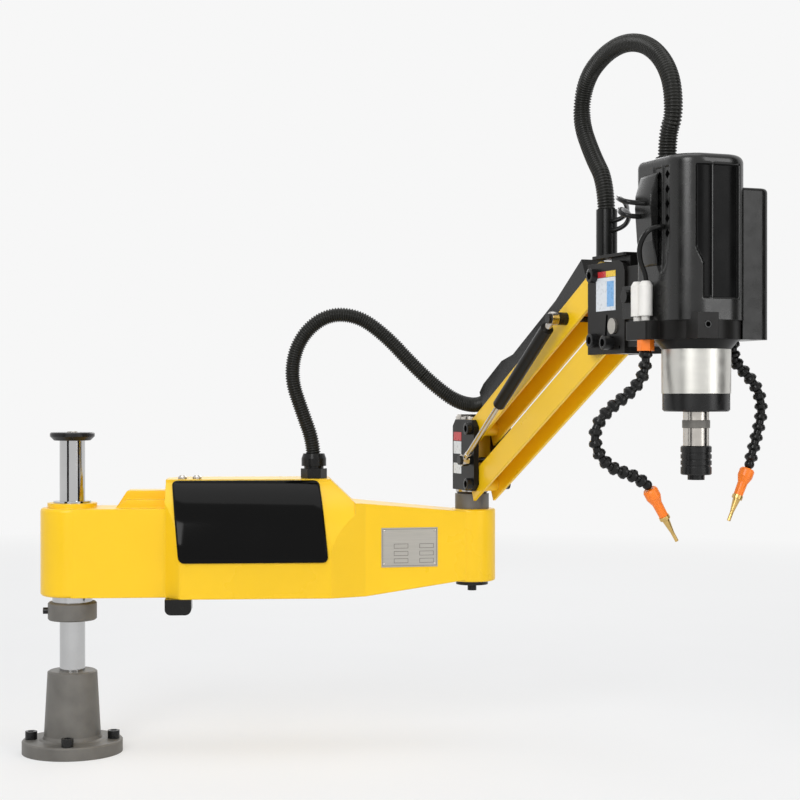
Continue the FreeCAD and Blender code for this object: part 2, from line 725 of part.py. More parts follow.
def build_collar():
    bore = s.column_radius + s.running_gap
    top = s.collar_bottom + s.collar_height
    ring = turned("CollarTurned", (
        (bore, s.collar_bottom),
        (s.collar_radius - s.collar_edge, s.collar_bottom),
        (s.collar_radius, s.collar_bottom + s.collar_edge),
        (s.collar_radius, top - s.collar_edge),
        (s.collar_radius - s.collar_edge, top),
        (bore, top),
    ))
    middle = s.collar_bottom + s.collar_height * half_share
    outer = s.collar_radius + s.set_screw_stand
    hole = rod("CollarHole", s.set_screw_radius, outer - s.column_radius * half_share,
               (-outer, 0, middle), "x")
    part("height_collar", cut("CollarDrilled", ring, hole))
    inner = s.column_radius + s.loose_gap
    screw = rod("CollarScrewBar", s.set_screw_radius, outer - inner, (-outer, 0, middle), "x")
    socket = hexagon("CollarScrewSocket", s.set_screw_radius * half_share,
                     s.set_screw_stand + s.overrun, (-(outer + s.overrun), 0, middle), "x")
    part("collar_set_screw", cut("CollarScrew", screw, socket))
    part("thrust_ring", turned("ThrustRingTurned", (
        (bore, top),
        (s.thrust_radius, top),
        (s.thrust_radius, s.arm_bottom),
        (bore, s.arm_bottom),
    )))


# Horizontal arm: one casting with the column boss, the electric box, the tapered web and the elbow boss

slab_top = s.arm_bottom + s.boss_height
box_top = s.arm_bottom + s.box_height
crease = s.box_right + s.web_straight
elbow_top = s.elbow_bottom + s.elbow_height


def cover_arc(inset):
    """The cover's profile: an arc from its lower edge to its top edge, moved inward by an inset."""
    low = FreeCAD.Vector(0, -s.box_half.value - s.cover_thick.value, s.cover_bottom.value)
    high = FreeCAD.Vector(0, -s.box_half.value + s.cover_setback.value, box_top.value)
    chord = high - low
    outward = FreeCAD.Vector(0, -chord.z, chord.y).normalize()
    middle = (low + high) * half_share + outward * s.cover_bulge.value
    circle = Part.Arc(low, middle, high).toShape().Curve
    shrink = (circle.Radius - inset) / circle.Radius
    inner = [circle.Center + (point - circle.Center) * shrink for point in (low, middle, high)]
    return Part.Arc(*inner).toShape()


def prism_along_x(name, edges, low, high):
    face = Part.Face(Part.Wire(Part.__sortEdges__(edges)))
    face.translate(X_AXIS * low.value)
    prism = doc.addObject("Part::Feature", name)
    prism.Shape = face.extrude(X_AXIS * (high.value - low.value))
    return prism


def joined(points):
    """Straight edges through a row of points."""
    return [Part.makeLine(first, second) for first, second in zip(points, points[1:])]


def cover_clearance():
    """What the casting's front gives up so that the curved cover can lie on it."""
    arc = cover_arc(s.cover_thick.value)
    low, high = arc.valueAt(arc.FirstParameter), arc.valueAt(arc.LastParameter)
    above = FreeCAD.Vector(0, high.y, box_top.value + s.overrun.value)
    front = -s.box_half.value - s.cover_thick.value - s.overrun.value
    corner = FreeCAD.Vector(0, front, above.z)
    foot = FreeCAD.Vector(0, front, low.z)
    edges = [arc] + joined((high, above, corner, foot, low))
    return prism_along_x("CoverClearance", edges, s.box_left - s.overrun, s.box_right + s.shoulder_run)


def build_arm():
    web_top = box_top - s.shoulder_drop
    side = pad("ArmSide", (
        (nothing, s.arm_bottom),
        (crease, s.arm_bottom),
        (s.arm_reach, s.arm_bottom + s.web_end_rise),
        (s.arm_reach, web_top - s.web_end_drop),
        (s.box_right + s.shoulder_run, web_top),
        (s.box_right, box_top),
        (s.box_left, box_top),
        (s.box_left, slab_top),
        (nothing, slab_top),
    ), "XZ", -(s.box_half + s.overrun), s.box_half + s.overrun)
    front_half = (
        (nothing, s.slab_half),
        (s.box_left, s.slab_half),
        (s.box_left + s.box_corner_run, s.box_half),
        (s.box_right, s.box_half),
        (crease, s.crease_half),
        (s.arm_reach, s.web_end_half),
    )
    mirrored = tuple((along, -across) for along, across in reversed(front_half))
    plan = pad("ArmPlan", front_half + mirrored, "XY", s.arm_bottom - s.overrun, box_top + s.overrun)
    plan = rounded("ArmPlanRounded", plan, s.box_edge, runs_along(Z_AXIS))
    bar = common("ArmBar", side, plan)
    trimmed = cut("ArmTrimmed", bar, cover_clearance())
    boss = rod("ColumnBoss", s.boss_radius, s.boss_height, (0, 0, s.arm_bottom))
    boss = rounded("ColumnBossRounded", boss, s.boss_edge, lambda edge: edge.Closed)
    ring_top = slab_top + s.boss_ring_height
    ring = rod("BossRing", s.boss_ring_radius, s.boss_ring_height + s.boss_edge,
               (0, 0, slab_top - s.boss_edge))
    upper_step = pad("HousingUpper", (
        (s.housing_left, slab_top - s.boss_edge),
        (s.housing_left, slab_top),
        (s.housing_left + s.housing_slant, slab_top + s.housing_rise),
        (s.box_left + s.overrun, slab_top + s.housing_rise),
        (s.box_left + s.overrun, slab_top - s.boss_edge),
    ), "XZ", nothing, s.slab_half - s.boss_edge)
    upper_step = rounded("HousingUpperRounded", upper_step, s.boss_edge, lambda edge: runs_along(Y_AXIS)(edge)
                         and edge.CenterOfMass.z > slab_top.value + s.boss_edge.value
                         and edge.CenterOfMass.x < s.box_left.value)
    lower_step = pad("HousingLower", (
        (s.housing_left, slab_top - s.boss_edge),
        (s.housing_left, slab_top),
        (s.housing_left + s.housing_slant, slab_top + s.housing_step),
        (s.box_left + s.overrun, slab_top + s.housing_step),
        (s.box_left + s.overrun, slab_top - s.boss_edge),
    ), "XZ", -(s.slab_half * half_share), s.boss_edge)
    elbow = rod("ElbowBoss", s.elbow_radius, s.elbow_height, (s.arm_reach, 0, s.elbow_bottom))
    elbow = rounded("ElbowBossRounded", elbow, s.elbow_edge, lambda edge: edge.Closed)
    blank = fuse("ArmBlank", trimmed, boss, ring, upper_step, lower_step, elbow)
    column_bore = rod("ArmColumnBore", s.bush_radius, s.boss_height + s.boss_ring_height + s.overrun * 2,
                      (0, 0, s.arm_bottom - s.overrun))
    elbow_bore = rod("ArmElbowBore", s.pivot_radius + s.running_gap, s.elbow_height + s.overrun * 2,
                     (s.arm_reach, 0, s.elbow_bottom - s.overrun))
    retainer_room = rod("ArmRetainerRoom", s.retainer_radius + s.loose_gap, s.retainer_height + s.overrun,
                        (s.arm_reach, 0, s.elbow_bottom - s.retainer_height - s.overrun))
    part("arm_casting", cut("ArmCasting", blank, column_bore, elbow_bore, retainer_room))

    bore = s.column_radius + s.running_gap
    lower_bush = turned("LowerBush", (
        (bore, s.arm_bottom),
        (s.bush_radius, s.arm_bottom),
        (s.bush_radius, s.arm_bottom + s.bush_length),
        (bore, s.arm_bottom + s.bush_length),
    ))
    upper_bush = turned("UpperBush", (
        (bore, ring_top - s.bush_length),
        (s.bush_radius, ring_top - s.bush_length),
        (s.bush_radius, ring_top),
        (s.bush_flange_radius, ring_top),
        (s.bush_flange_radius, ring_top + s.bush_flange_height),
        (bore, ring_top + s.bush_flange_height),
    ))
    part("column_bushes", group("ColumnBushes", lower_bush, upper_bush))


def build_cover():
    outer = cover_arc(0)
    inner = cover_arc(s.cover_thick.value)
    ends = [Part.makeLine(outer.valueAt(number), inner.valueAt(other)) for number, other in (
        (outer.FirstParameter, inner.FirstParameter), (outer.LastParameter, inner.LastParameter))]
    low = s.cover_left - s.overrun
    high = s.cover_left + s.cover_width + s.cover_shear + s.overrun
    shell = prism_along_x("CoverShell", [outer, inner] + ends, low, high)
    leaning = pad("CoverSides", (
        (s.cover_left + s.cover_shear, s.cover_bottom - s.overrun),
        (s.cover_left + s.cover_shear + s.cover_width, s.cover_bottom - s.overrun),
        (s.cover_left + s.cover_width, box_top + s.overrun),
        (s.cover_left, box_top + s.overrun),
    ), "XZ", -(s.box_half + s.overrun * 3), nothing)
    part("control_cover", common("ControlCover", shell, leaning))


def build_arm_fittings():
    # power inlet under the left end of the box
    low_x = s.box_left + s.inlet_offset
    front = -s.box_half
    block = box("InletBlock", (low_x, front, s.arm_bottom - s.inlet_height),
                (low_x + s.inlet_width, front + s.inlet_depth, s.arm_bottom))
    block = rounded("InletRounded", block, s.inlet_round, lambda edge: runs_along(Y_AXIS)(edge)
                    and edge.CenterOfMass.z < s.arm_bottom.value - s.inlet_height.value * half_share)
    part("power_inlet", block)

    fittings = [turned("BoxFitting" + str(number), (
        (nothing, box_top),
        (s.fitting_radius, box_top),
        (s.fitting_radius, box_top + s.fitting_height * half_share),
        (s.fitting_radius * half_share, box_top + s.fitting_height),
        (nothing, box_top + s.fitting_height),
    ), (s.box_left + s.box_corner_run + s.fitting_pitch * number, 0, 0)) for number in range(2)]
    part("box_fittings", group("BoxFittings", *fittings))

    # nameplate on the slanted front face of the web
    run = s.arm_reach.value - crease.value
    fall = s.crease_half.value - s.web_end_half.value
    face_turn = FreeCAD.Rotation(Z_AXIS, math.degrees(math.atan2(fall, run)))
    corner = FreeCAD.Vector(crease.value, -s.crease_half.value, s.arm_bottom.value)
    plate_frame = FreeCAD.Placement(corner, face_turn)
    plate = box("PlateBlank", (s.plate_inset, -s.plate_thick, s.plate_lift),
                (s.plate_inset + s.plate_width, 0, s.plate_lift + s.plate_height))
    part("nameplate", plate, plate_frame)

    gland = (s.gland_place, s.gland_back)
    neck_low = box_top + s.gland_nut_height
    dome_low = neck_low + s.gland_neck_height
    dome_top = dome_low + s.gland_dome_height
    nut = hexagon("GlandHex", s.gland_nut_radius, s.gland_nut_height, (*gland, box_top))
    neck = rod("GlandNeck", s.gland_neck_radius, s.gland_neck_height, (*gland, neck_low))
    part("hose_gland", fuse("HoseGland", nut, neck))
    dome = turned("GlandDome", (
        (s.hose_radius, dome_low),
        (s.gland_dome_radius, dome_low),
        (s.gland_dome_radius, dome_low + s.gland_dome_height * dome_side_share),
        (s.gland_dome_radius * dome_top_share, dome_top),
        (s.hose_radius, dome_top),
    ), (*gland, 0))
    part("hose_gland_nut", dome)

# Knuckle: pivots in the elbow boss and carries both links and the foot of the gas spring

plate_inner = s.link_width * half_share + s.plate_room
plate_outer = plate_inner + s.side_plate


def pin(name, at, head_height):
    """A headed pin through both side plates, along Y."""
    x, z = at
    bar = rod(name + "Bar", s.pin_radius, plate_outer * 2, (x, -plate_outer, z), "y")
    near = rod(name + "Near", s.pin_head_radius, head_height, (x, -(plate_outer + head_height), z), "y")
    far = rod(name + "Far", s.pin_head_radius, head_height, (x, plate_outer, z), "y")
    return fuse(name, bar, near, far)


def build_knuckle():
    low = elbow_top + s.sleeve_height + s.washer_height
    top = low + s.knuckle_height
    bolt_low = s.elbow_bottom + s.elbow_bolt_length
    shaft = turned("ElbowShaft", (
        (s.elbow_bolt_shank, s.elbow_bottom),
        (s.pivot_radius, s.elbow_bottom),
        (s.pivot_radius, low),
        (nothing, low),
        (nothing, bolt_low),
        (s.elbow_bolt_shank, bolt_low),
    ))
    part("elbow_sleeve", turned("ElbowSleeve", (
        (s.pivot_radius, elbow_top),
        (s.sleeve_radius, elbow_top),
        (s.sleeve_radius, elbow_top + s.sleeve_height),
        (s.pivot_radius, elbow_top + s.sleeve_height),
    )), knuckle)
    washer = turned("ElbowWasher", (
        (s.pivot_radius, elbow_top + s.sleeve_height),
        (s.washer_radius - s.washer_height * half_share, elbow_top + s.sleeve_height),
        (s.washer_radius, elbow_top + s.sleeve_height + s.washer_height * half_share),
        (s.washer_radius, low),
        (s.pivot_radius, low),
    ))
    part("elbow_pivot", fuse("ElbowPivot", shaft, washer), knuckle)
    disc = turned("ElbowRetainerDisc", (
        (s.elbow_bolt_shank, s.elbow_bottom - s.retainer_height),
        (s.retainer_radius, s.elbow_bottom - s.retainer_height),
        (s.retainer_radius, s.elbow_bottom),
        (s.elbow_bolt_shank, s.elbow_bottom),
    ))
    bolt_base = s.elbow_bottom - s.retainer_height
    bolt = turned("ElbowBolt", (
        (nothing, bolt_base - s.elbow_bolt_head),
        (s.elbow_bolt_radius, bolt_base - s.elbow_bolt_head),
        (s.elbow_bolt_radius, bolt_base),
        (s.elbow_bolt_shank, bolt_base),
        (s.elbow_bolt_shank, bolt_low),
        (nothing, bolt_low),
    ))
    part("elbow_retainer", fuse("ElbowRetainer", disc, bolt), knuckle)

    block = box("KnuckleBlockBar", (-s.knuckle_back, -plate_inner, low),
                (s.pin_reach - s.link_end_room, plate_inner, top))
    block = rounded("KnuckleBlock", block, s.knuckle_corner * half_share, lambda edge:
                    runs_along(Z_AXIS)(edge) and edge.CenterOfMass.x < 0)
    part("knuckle_block", block, knuckle)
    part("knuckle_cap", turned("KnuckleCap", (
        (nothing, top),
        (s.knuckle_cap_radius, top),
        (s.knuckle_cap_radius, top + s.knuckle_cap_height * half_share),
        (s.knuckle_cap_radius * cap_top_share, top + s.knuckle_cap_height),
        (nothing, top + s.knuckle_cap_height),
    )), knuckle)

    corner = s.knuckle_corner
    shape = (
        (-s.knuckle_plate_back, low),
        (s.knuckle_front - corner, low),
        (s.knuckle_front, low + corner),
        (s.knuckle_front, top - corner),
        (s.knuckle_front - corner, top),
        (corner - s.knuckle_plate_back, top),
        (-s.knuckle_plate_back, top - corner),
    )
    foot = (s.spring_foot_reach, upper_pin_height - s.spring_foot_drop)
    plates = []
    for side, low_y, high_y in (("Near", -plate_outer, -plate_inner), ("Far", plate_inner, plate_outer)):
        name = "KnucklePlate" + side
        blank = pad(name + "Blank", shape, "XZ", low_y, high_y)
        holes = [rod(name + "Hole" + str(number), radius, s.side_plate + s.overrun * 2,
                     (reach, low_y - s.overrun, height), "y")
                 for number, (reach, height, radius) in enumerate((
                     (s.pin_reach, s.lower_pin_height, s.pin_radius),
                     (s.pin_reach, upper_pin_height, s.pin_radius),
                     (*foot, s.spring_pin_radius)))]
        plates.append(cut(name, blank, *holes))
    part("knuckle_plates", group("KnucklePlates", *plates), knuckle)
    pins = [pin("KnucklePin" + word, (s.pin_reach, height), s.pin_head_height)
            for word, height in (("Lower", s.lower_pin_height), ("Upper", upper_pin_height))]
    part("knuckle_pins", group("KnucklePins", *pins), knuckle)

    # stud of the gas spring through both plates, with a spacer that keeps the spring clear
    reach, height = foot
    eye_back = -(s.spring_side - s.spring_eye_width * half_share)
    stud_front = -(s.spring_side + s.spring_eye_width * half_share + s.spring_pin_radius)
    nut_radius = s.spring_pin_radius * nut_share
    stud = rod("SpringFootStudBar", s.spring_pin_radius, plate_outer - stud_front,
               (reach, stud_front, height), "y")
    nut = rod("SpringFootNut", nut_radius, s.spring_pin_radius, (reach, stud_front, height), "y")
    collar = rod("SpringFootCollar", nut_radius, -plate_outer - eye_back, (reach, eye_back, height), "y")
    far_nut = rod("SpringFootFarNut", nut_radius, s.spring_pin_radius, (reach, plate_outer, height), "y")
    part("spring_foot_stud", fuse("SpringFootStud", stud, nut, collar, far_nut), knuckle)


# Lift links: two channels of one length between parallel pins

def channel(name):
    """An inverted channel from its heel to its rounded head end, bored for its pins."""
    half = s.link_width * half_share
    depth = s.link_depth * half_share
    inside = half - s.link_wall
    straight = box(name + "Bar", (-s.link_heel, -half, -depth), (s.link_length, half, depth))
    end = rod(name + "End", depth, s.link_width, (s.link_length, -half, 0), "y")
    hollow = box(name + "Hollow", (-(s.link_heel + s.overrun), -inside, -(depth + s.overrun)),
                 (s.link_length + depth + s.overrun, inside, depth - s.link_wall))
    shell = cut(name + "Shell", fuse(name + "Blank", straight, end), hollow)
    hubs = [rod(name + "Hub" + str(number), s.link_hub_radius, s.link_width - s.link_wall,
                (along, -(half - s.link_wall * half_share), 0), "y")
            for number, along in enumerate((0, s.link_length))]
    radius = s.pin_radius + s.running_gap
    bores = [rod(name + "Bore" + str(number), radius, s.link_width + s.overrun * 2,
                 (along, -(half + s.overrun), 0), "y")
             for number, along in enumerate((0, s.link_length))]
    return fuse(name + "Hubbed", shell, *hubs), bores


def build_links():
    body, bores = channel("LowerChannel")
    part("lower_channel", cut("LowerChannelBored", body, *bores), lower_link)
    body, bores = channel("UpperChannel")
    half = s.link_width * half_share
    spring_hole = rod("SpringHeadHole", s.spring_pin_radius, s.link_width + s.overrun * 2,
                      (s.spring_head_along, -(half + s.overrun), 0), "y")
    part("upper_channel", cut("UpperChannelBored", body, *bores, spring_hole), upper_link)

    eye_back = -(s.spring_side - s.spring_eye_width * half_share)
    stud_front = -(s.spring_side + s.spring_eye_width * half_share + s.spring_pin_radius)
    stud = rod("SpringHeadStudBar", s.spring_pin_radius, half - stud_front,
               (s.spring_head_along, stud_front, 0), "y")
    spacer = rod("SpringHeadSpacer", s.spacer_radius, -half - eye_back,
                 (s.spring_head_along, eye_back, 0), "y")
    nut = rod("SpringHeadNut", s.spring_pin_radius * nut_share, s.spring_pin_radius,
              (s.spring_head_along, stud_front, 0), "y")
    part("spring_head_stud", fuse("SpringHeadStud", stud, spacer, nut), upper_link)

    base = s.link_depth * half_share
    rise_end = s.duct_start + s.duct_lower_rise
    duct_end = s.link_length - s.duct_end_gap
    duct = pad("DuctBlank", (
        (s.duct_start, base),
        (duct_end, base),
        (duct_end, base + s.duct_high),
        (duct_end - s.duct_upper_rise, base + s.duct_low),
        (rise_end + s.duct_slope, base + s.duct_low),
        (rise_end, base + s.duct_high),
        (s.duct_start + s.duct_nose, base + s.duct_high),
        (s.duct_start, base + s.duct_high * duct_lip_share),
    ), "XZ", -(s.duct_width * half_share), s.duct_width * half_share)
    part("cable_duct", duct, upper_link)


# Gas spring: the rod turns on the knuckle's stud, the tube on the upper link's stud

def spring_frames():
    foot = knuckle * FreeCAD.Vector(s.spring_foot_reach.value, -s.spring_side.value,
                                    upper_pin_height.value - s.spring_foot_drop.value)
    top = upper_link * FreeCAD.Vector(s.spring_head_along.value, -s.spring_side.value, 0)
    across = knuckle.Rotation.multVec(Y_AXIS)
    along = (top - foot).normalize()
    turn = FreeCAD.Rotation(along, across, along.cross(across), "ZXY")
    return FreeCAD.Placement(foot, turn), FreeCAD.Placement(top, turn)


def eye(name, reach):
    """A flat eye on the stud with a round neck along the spring's axis."""
    half = s.spring_eye_width * half_share
    flat = rod(name + "Flat", s.spring_eye_radius, s.spring_eye_width, (0, -half, 0), "y")
    low = reach if reach.value < 0 else nothing
    neck = rod(name + "Neck", s.spring_neck_radius * neck_share, reach if reach.value > 0 else -reach,
               (low, 0, 0), "x")
    hole = rod(name + "Hole", s.spring_pin_radius + s.running_gap, s.spring_eye_width + s.overrun * 2,
               (0, -(half + s.overrun), 0), "y")
    return fuse(name + "Blank", flat, neck), hole


def build_spring():
    foot, top = spring_frames()
    blank, hole = eye("SpringFootEye", s.spring_eye_radius * 2)
    bar = rod("SpringRodBar", s.spring_rod_radius, s.spring_rod_length - s.spring_eye_radius,
              (s.spring_eye_radius, 0, 0), "x")
    part("spring_rod", cut("SpringRod", fuse("SpringRodEye", blank, bar), hole), foot)
    blank, hole = eye("SpringHeadEye", -s.spring_tube_start)
    part("spring_head_eye", cut("SpringHeadEye", blank, hole), top)
    end = s.spring_tube_start + s.spring_tube_length
    shell = rod("SpringTubeBar", s.spring_tube_radius, s.spring_tube_length, (-end, 0, 0), "x")
    bore = rod("SpringTubeBore", s.spring_bore_radius, s.spring_tube_length - s.spring_neck_radius + s.overrun,
               (-(end + s.overrun), 0, 0), "x")
    part("spring_tube", cut("SpringTube", shell, bore), top)


# Head: two side plates on the links' upper pins, a block, and the bracket of the motor

def build_head_frame():
    low = -(s.pin_rise + s.head_below)
    shape = (
        (-s.head_back, low),
        (s.head_front, low),
        (s.head_front, s.head_above - s.head_round),
        (s.head_front - s.head_round * corner_share, s.head_above - s.head_round * corner_share),
        (s.head_front - s.head_round, s.head_above),
        (-s.head_back, s.head_above),
    )
    bolts = (
        (nothing, nothing, s.pin_radius),
        (nothing, -s.pin_rise, s.pin_radius),
        (s.third_bolt_ahead, -s.third_bolt_drop, s.pin_radius),
    )
    plates = []
    for side, low_y, high_y in (("Near", -plate_outer, -plate_inner), ("Far", plate_inner, plate_outer)):
        name = "HeadPlate" + side
        blank = pad(name + "Blank", shape, "XZ", low_y, high_y)
        holes = [rod(name + "Hole" + str(number), radius, s.side_plate + s.overrun * 2,
                     (x, low_y - s.overrun, z), "y") for number, (x, z, radius) in enumerate(bolts)]
        plates.append(cut(name, blank, *holes))
    part("head_plates", group("HeadPlates", *plates), head)
    pins = [pin("HeadPinUpper", (nothing, nothing), s.pin_head_height),
            pin("HeadPinLower", (nothing, -s.pin_rise), s.pin_head_height),
            pin("TiltBolt", (s.third_bolt_ahead, -s.third_bolt_drop), s.third_bolt_stand)]
    part("head_pins", group("HeadPins", *pins), head)
    block = box("HeadBlockBar", (s.link_end_room, -plate_inner, low),
                (s.head_front, plate_inner, s.top_plate_rise))
    bolt_hole = rod("HeadBlockHole", s.pin_radius, (plate_inner + s.overrun) * 2,
                    (s.third_bolt_ahead, -(plate_inner + s.overrun), -s.third_bolt_drop), "y")
    drilled = cut("HeadBlockDrilled", block, bolt_hole)
    part("tilt_disc", rod("TiltDiscBar", s.disc_radius, s.disc_height,
                          (s.disc_ahead, -(plate_outer + s.disc_height), -s.disc_drop), "y"), head)
    top = s.top_plate_rise + s.top_plate_thick
    plate = box("HeadTopBar", (-s.top_plate_back, -plate_outer, s.top_plate_rise),
                (s.head_front, plate_outer, top))
    plate = rounded("HeadTopPlate", plate, s.top_plate_thick, runs_along(Z_AXIS))
    part("head_block", fuse("HeadBlock", drilled, plate), head)

    ring_top = s.ring_height - s.spindle_base
    motor_back = s.spindle_ahead - s.motor_back
    bracket = pad("BracketBlank", (
        (s.head_front, low + s.bracket_above),
        (s.spindle_ahead - s.ring_radius * half_share, -s.spindle_base),
        (s.spindle_ahead - s.ring_radius * half_share, ring_top),
        (motor_back, ring_top),
        (motor_back, s.bracket_above),
        (s.head_front, s.bracket_above),
    ), "XZ", -s.bracket_half, s.bracket_half)
    seat = rod("BracketSeat", s.ring_radius, s.ring_height + s.overrun * 4,
               (s.spindle_ahead, 0, -(s.spindle_base + s.overrun * 4)))
    part("head_bracket", cut("HeadBracket", bracket, seat), head)

    low_z = -s.valve_drop
    front = -(s.bracket_half + s.valve_depth)
    bar = box("ValveBar", (s.valve_ahead, front, low_z),
              (s.valve_ahead + s.valve_width, -s.bracket_half, low_z + s.valve_height))
    bar = rounded("ValveRounded", bar, s.link_wall * half_share, runs_along(Y_AXIS))
    middle = s.valve_ahead + s.valve_width * half_share
    knob = rod("ValveKnob", s.knob_radius, s.knob_height,
               (middle, front - s.knob_height, low_z + s.valve_height * knob_share), "y")
    part("valve_block", fuse("ValveBlock", bar, knob), head)


def build_motor():
    ring = rod("ClampRing", s.ring_radius, s.ring_height, (0, 0, 0))
    lug = box("SideLug", (-s.lug_back, -s.lug_outer, 0),
              (s.lug_front, -s.lug_back * half_share, s.ring_height))
    lug = rounded("SideLugRounded", lug, s.overrun, lambda edge: runs_along(Z_AXIS)(edge)
                  and edge.CenterOfMass.y < -s.lug_back.value)
    clamp_low = box("ClampFoot", (s.ring_radius * half_share, -(s.clamp_side + s.clamp_half), 0),
                    (s.clamp_out, s.clamp_half - s.clamp_side, s.ring_height))
    clamp_high = box("ClampJaw", (s.motor_front, -(s.clamp_side + s.clamp_half), 0),
                     (s.clamp_out, s.clamp_half - s.clamp_side, s.clamp_height))
    part("clamp_ring", fuse("ClampRingWhole", ring, lug, clamp_low, clamp_high), spindle)

    blank = box("MotorBlank", (-s.motor_back, -s.motor_half, s.ring_height),
                (s.motor_front, s.motor_half, s.motor_top))
    blank = rounded("MotorBack", blank, s.motor_back_round, lambda edge: runs_along(Z_AXIS)(edge)
                    and edge.CenterOfMass.x < 0)
    blank = rounded("MotorFront", blank, s.motor_front_round, lambda edge: runs_along(Z_AXIS)(edge)
                    and edge.CenterOfMass.x > s.motor_front.value - s.running_gap.value)
    blank = rounded("MotorTop", blank, s.motor_edge, lambda edge: edge.BoundBox.ZMin > s.motor_top.value
                    - s.running_gap.value)
    recess = pad("MotorRecess", (
        (-s.recess_left, s.recess_bottom + s.recess_sweep),
        (s.recess_sweep - s.recess_left, s.recess_bottom),
        (s.recess_right, s.recess_bottom),
        (s.recess_right, s.motor_top - s.recess_top_wall),
        (-s.recess_left, s.motor_top - s.recess_top_wall),
    ), "YZ", s.motor_front - s.recess_depth, s.motor_front + s.overrun)
    rib = box("MotorRib", (s.motor_front - s.recess_depth - s.overrun, -s.recess_rib_half, s.recess_bottom),
              (s.motor_front + s.overrun * 2, s.recess_rib_half, s.motor_top))
    pocket = cut("MotorPocket", recess, rib)
    vents = []
    for column in range(2):
        for row in range(5):
            vent = doc.addObject("Part::Prism", "Vent" + str(column) + str(row))
            vent.Polygon = 4
            drive(vent, "Circumradius", s.vent_half)
            drive(vent, "Height", s.vent_depth + s.overrun)
            vent.Placement.Rotation = TURNS["y"]
            put(vent, (s.vent_column * column - s.vent_back, -(s.motor_half + s.overrun),
                       s.motor_top - s.vent_top - s.vent_pitch * row))
            vents.append(vent)
    part("motor_cover", cut("MotorCover", blank, pocket, *vents), spindle)

    case = box("SideCaseBlank", (-s.side_case_back, s.motor_half - s.side_case_gap, 0),
               (s.side_case_front, s.side_case_outer, s.side_case_height))
    case = rounded("SideCaseSides", case, s.side_case_round, lambda edge: runs_along(Z_AXIS)(edge)
                   and edge.CenterOfMass.y > s.side_case_outer.value - s.side_case_round.value)
    case_top = s.side_case_height.value - s.running_gap.value
    case = rounded("SideCaseTop", case, s.motor_edge, lambda edge: edge.BoundBox.ZMin > case_top
                   and edge.CenterOfMass.y > s.motor_half.value)
    ring_room = rod("SideCaseRingRoom", s.ring_radius, s.ring_height + s.overrun, (0, 0, -s.overrun))
    part("side_case", cut("SideCase", case, blank, ring_room), spindle)

    bulge = box("BulgeBlank", (-s.bulge_back, -(s.motor_half + s.bulge_out), s.bulge_low),
                (-s.bulge_front, -s.motor_half, s.bulge_high))
    part("cable_housing", rounded("CableHousing", bulge, s.motor_edge, lambda edge: runs_along(Z_AXIS)(edge)
                                  and edge.CenterOfMass.y < -s.motor_half.value - s.running_gap.value), spindle)
    port = (-s.motor_port_back, -s.motor_port_side)
    part("motor_port", turned("MotorPort", (
        (s.hose_radius, s.motor_top),
        (s.motor_port_radius, s.motor_top),
        (s.motor_port_radius, s.motor_top + s.motor_port_height),
        (s.hose_radius, s.motor_top + s.motor_port_height),
    ), (*port, 0)), spindle)

    base = s.ring_height
    body_low = base + s.coupling_neck_height
    top = body_low + s.coupling_height
    couplings = [turned("Coupling" + str(number), (
        (nothing, base),
        (s.coupling_neck, base),
        (s.coupling_neck, body_low),
        (s.coupling_radius, body_low),
        (s.coupling_radius, top - s.coupling_neck),
        (s.coupling_neck, top),
        (nothing, top),
    ), (-(s.coupling_back + s.coupling_pitch * number), -s.coupling_side, 0)) for number in range(2)]
    part("couplings", group("Couplings", *couplings), spindle)


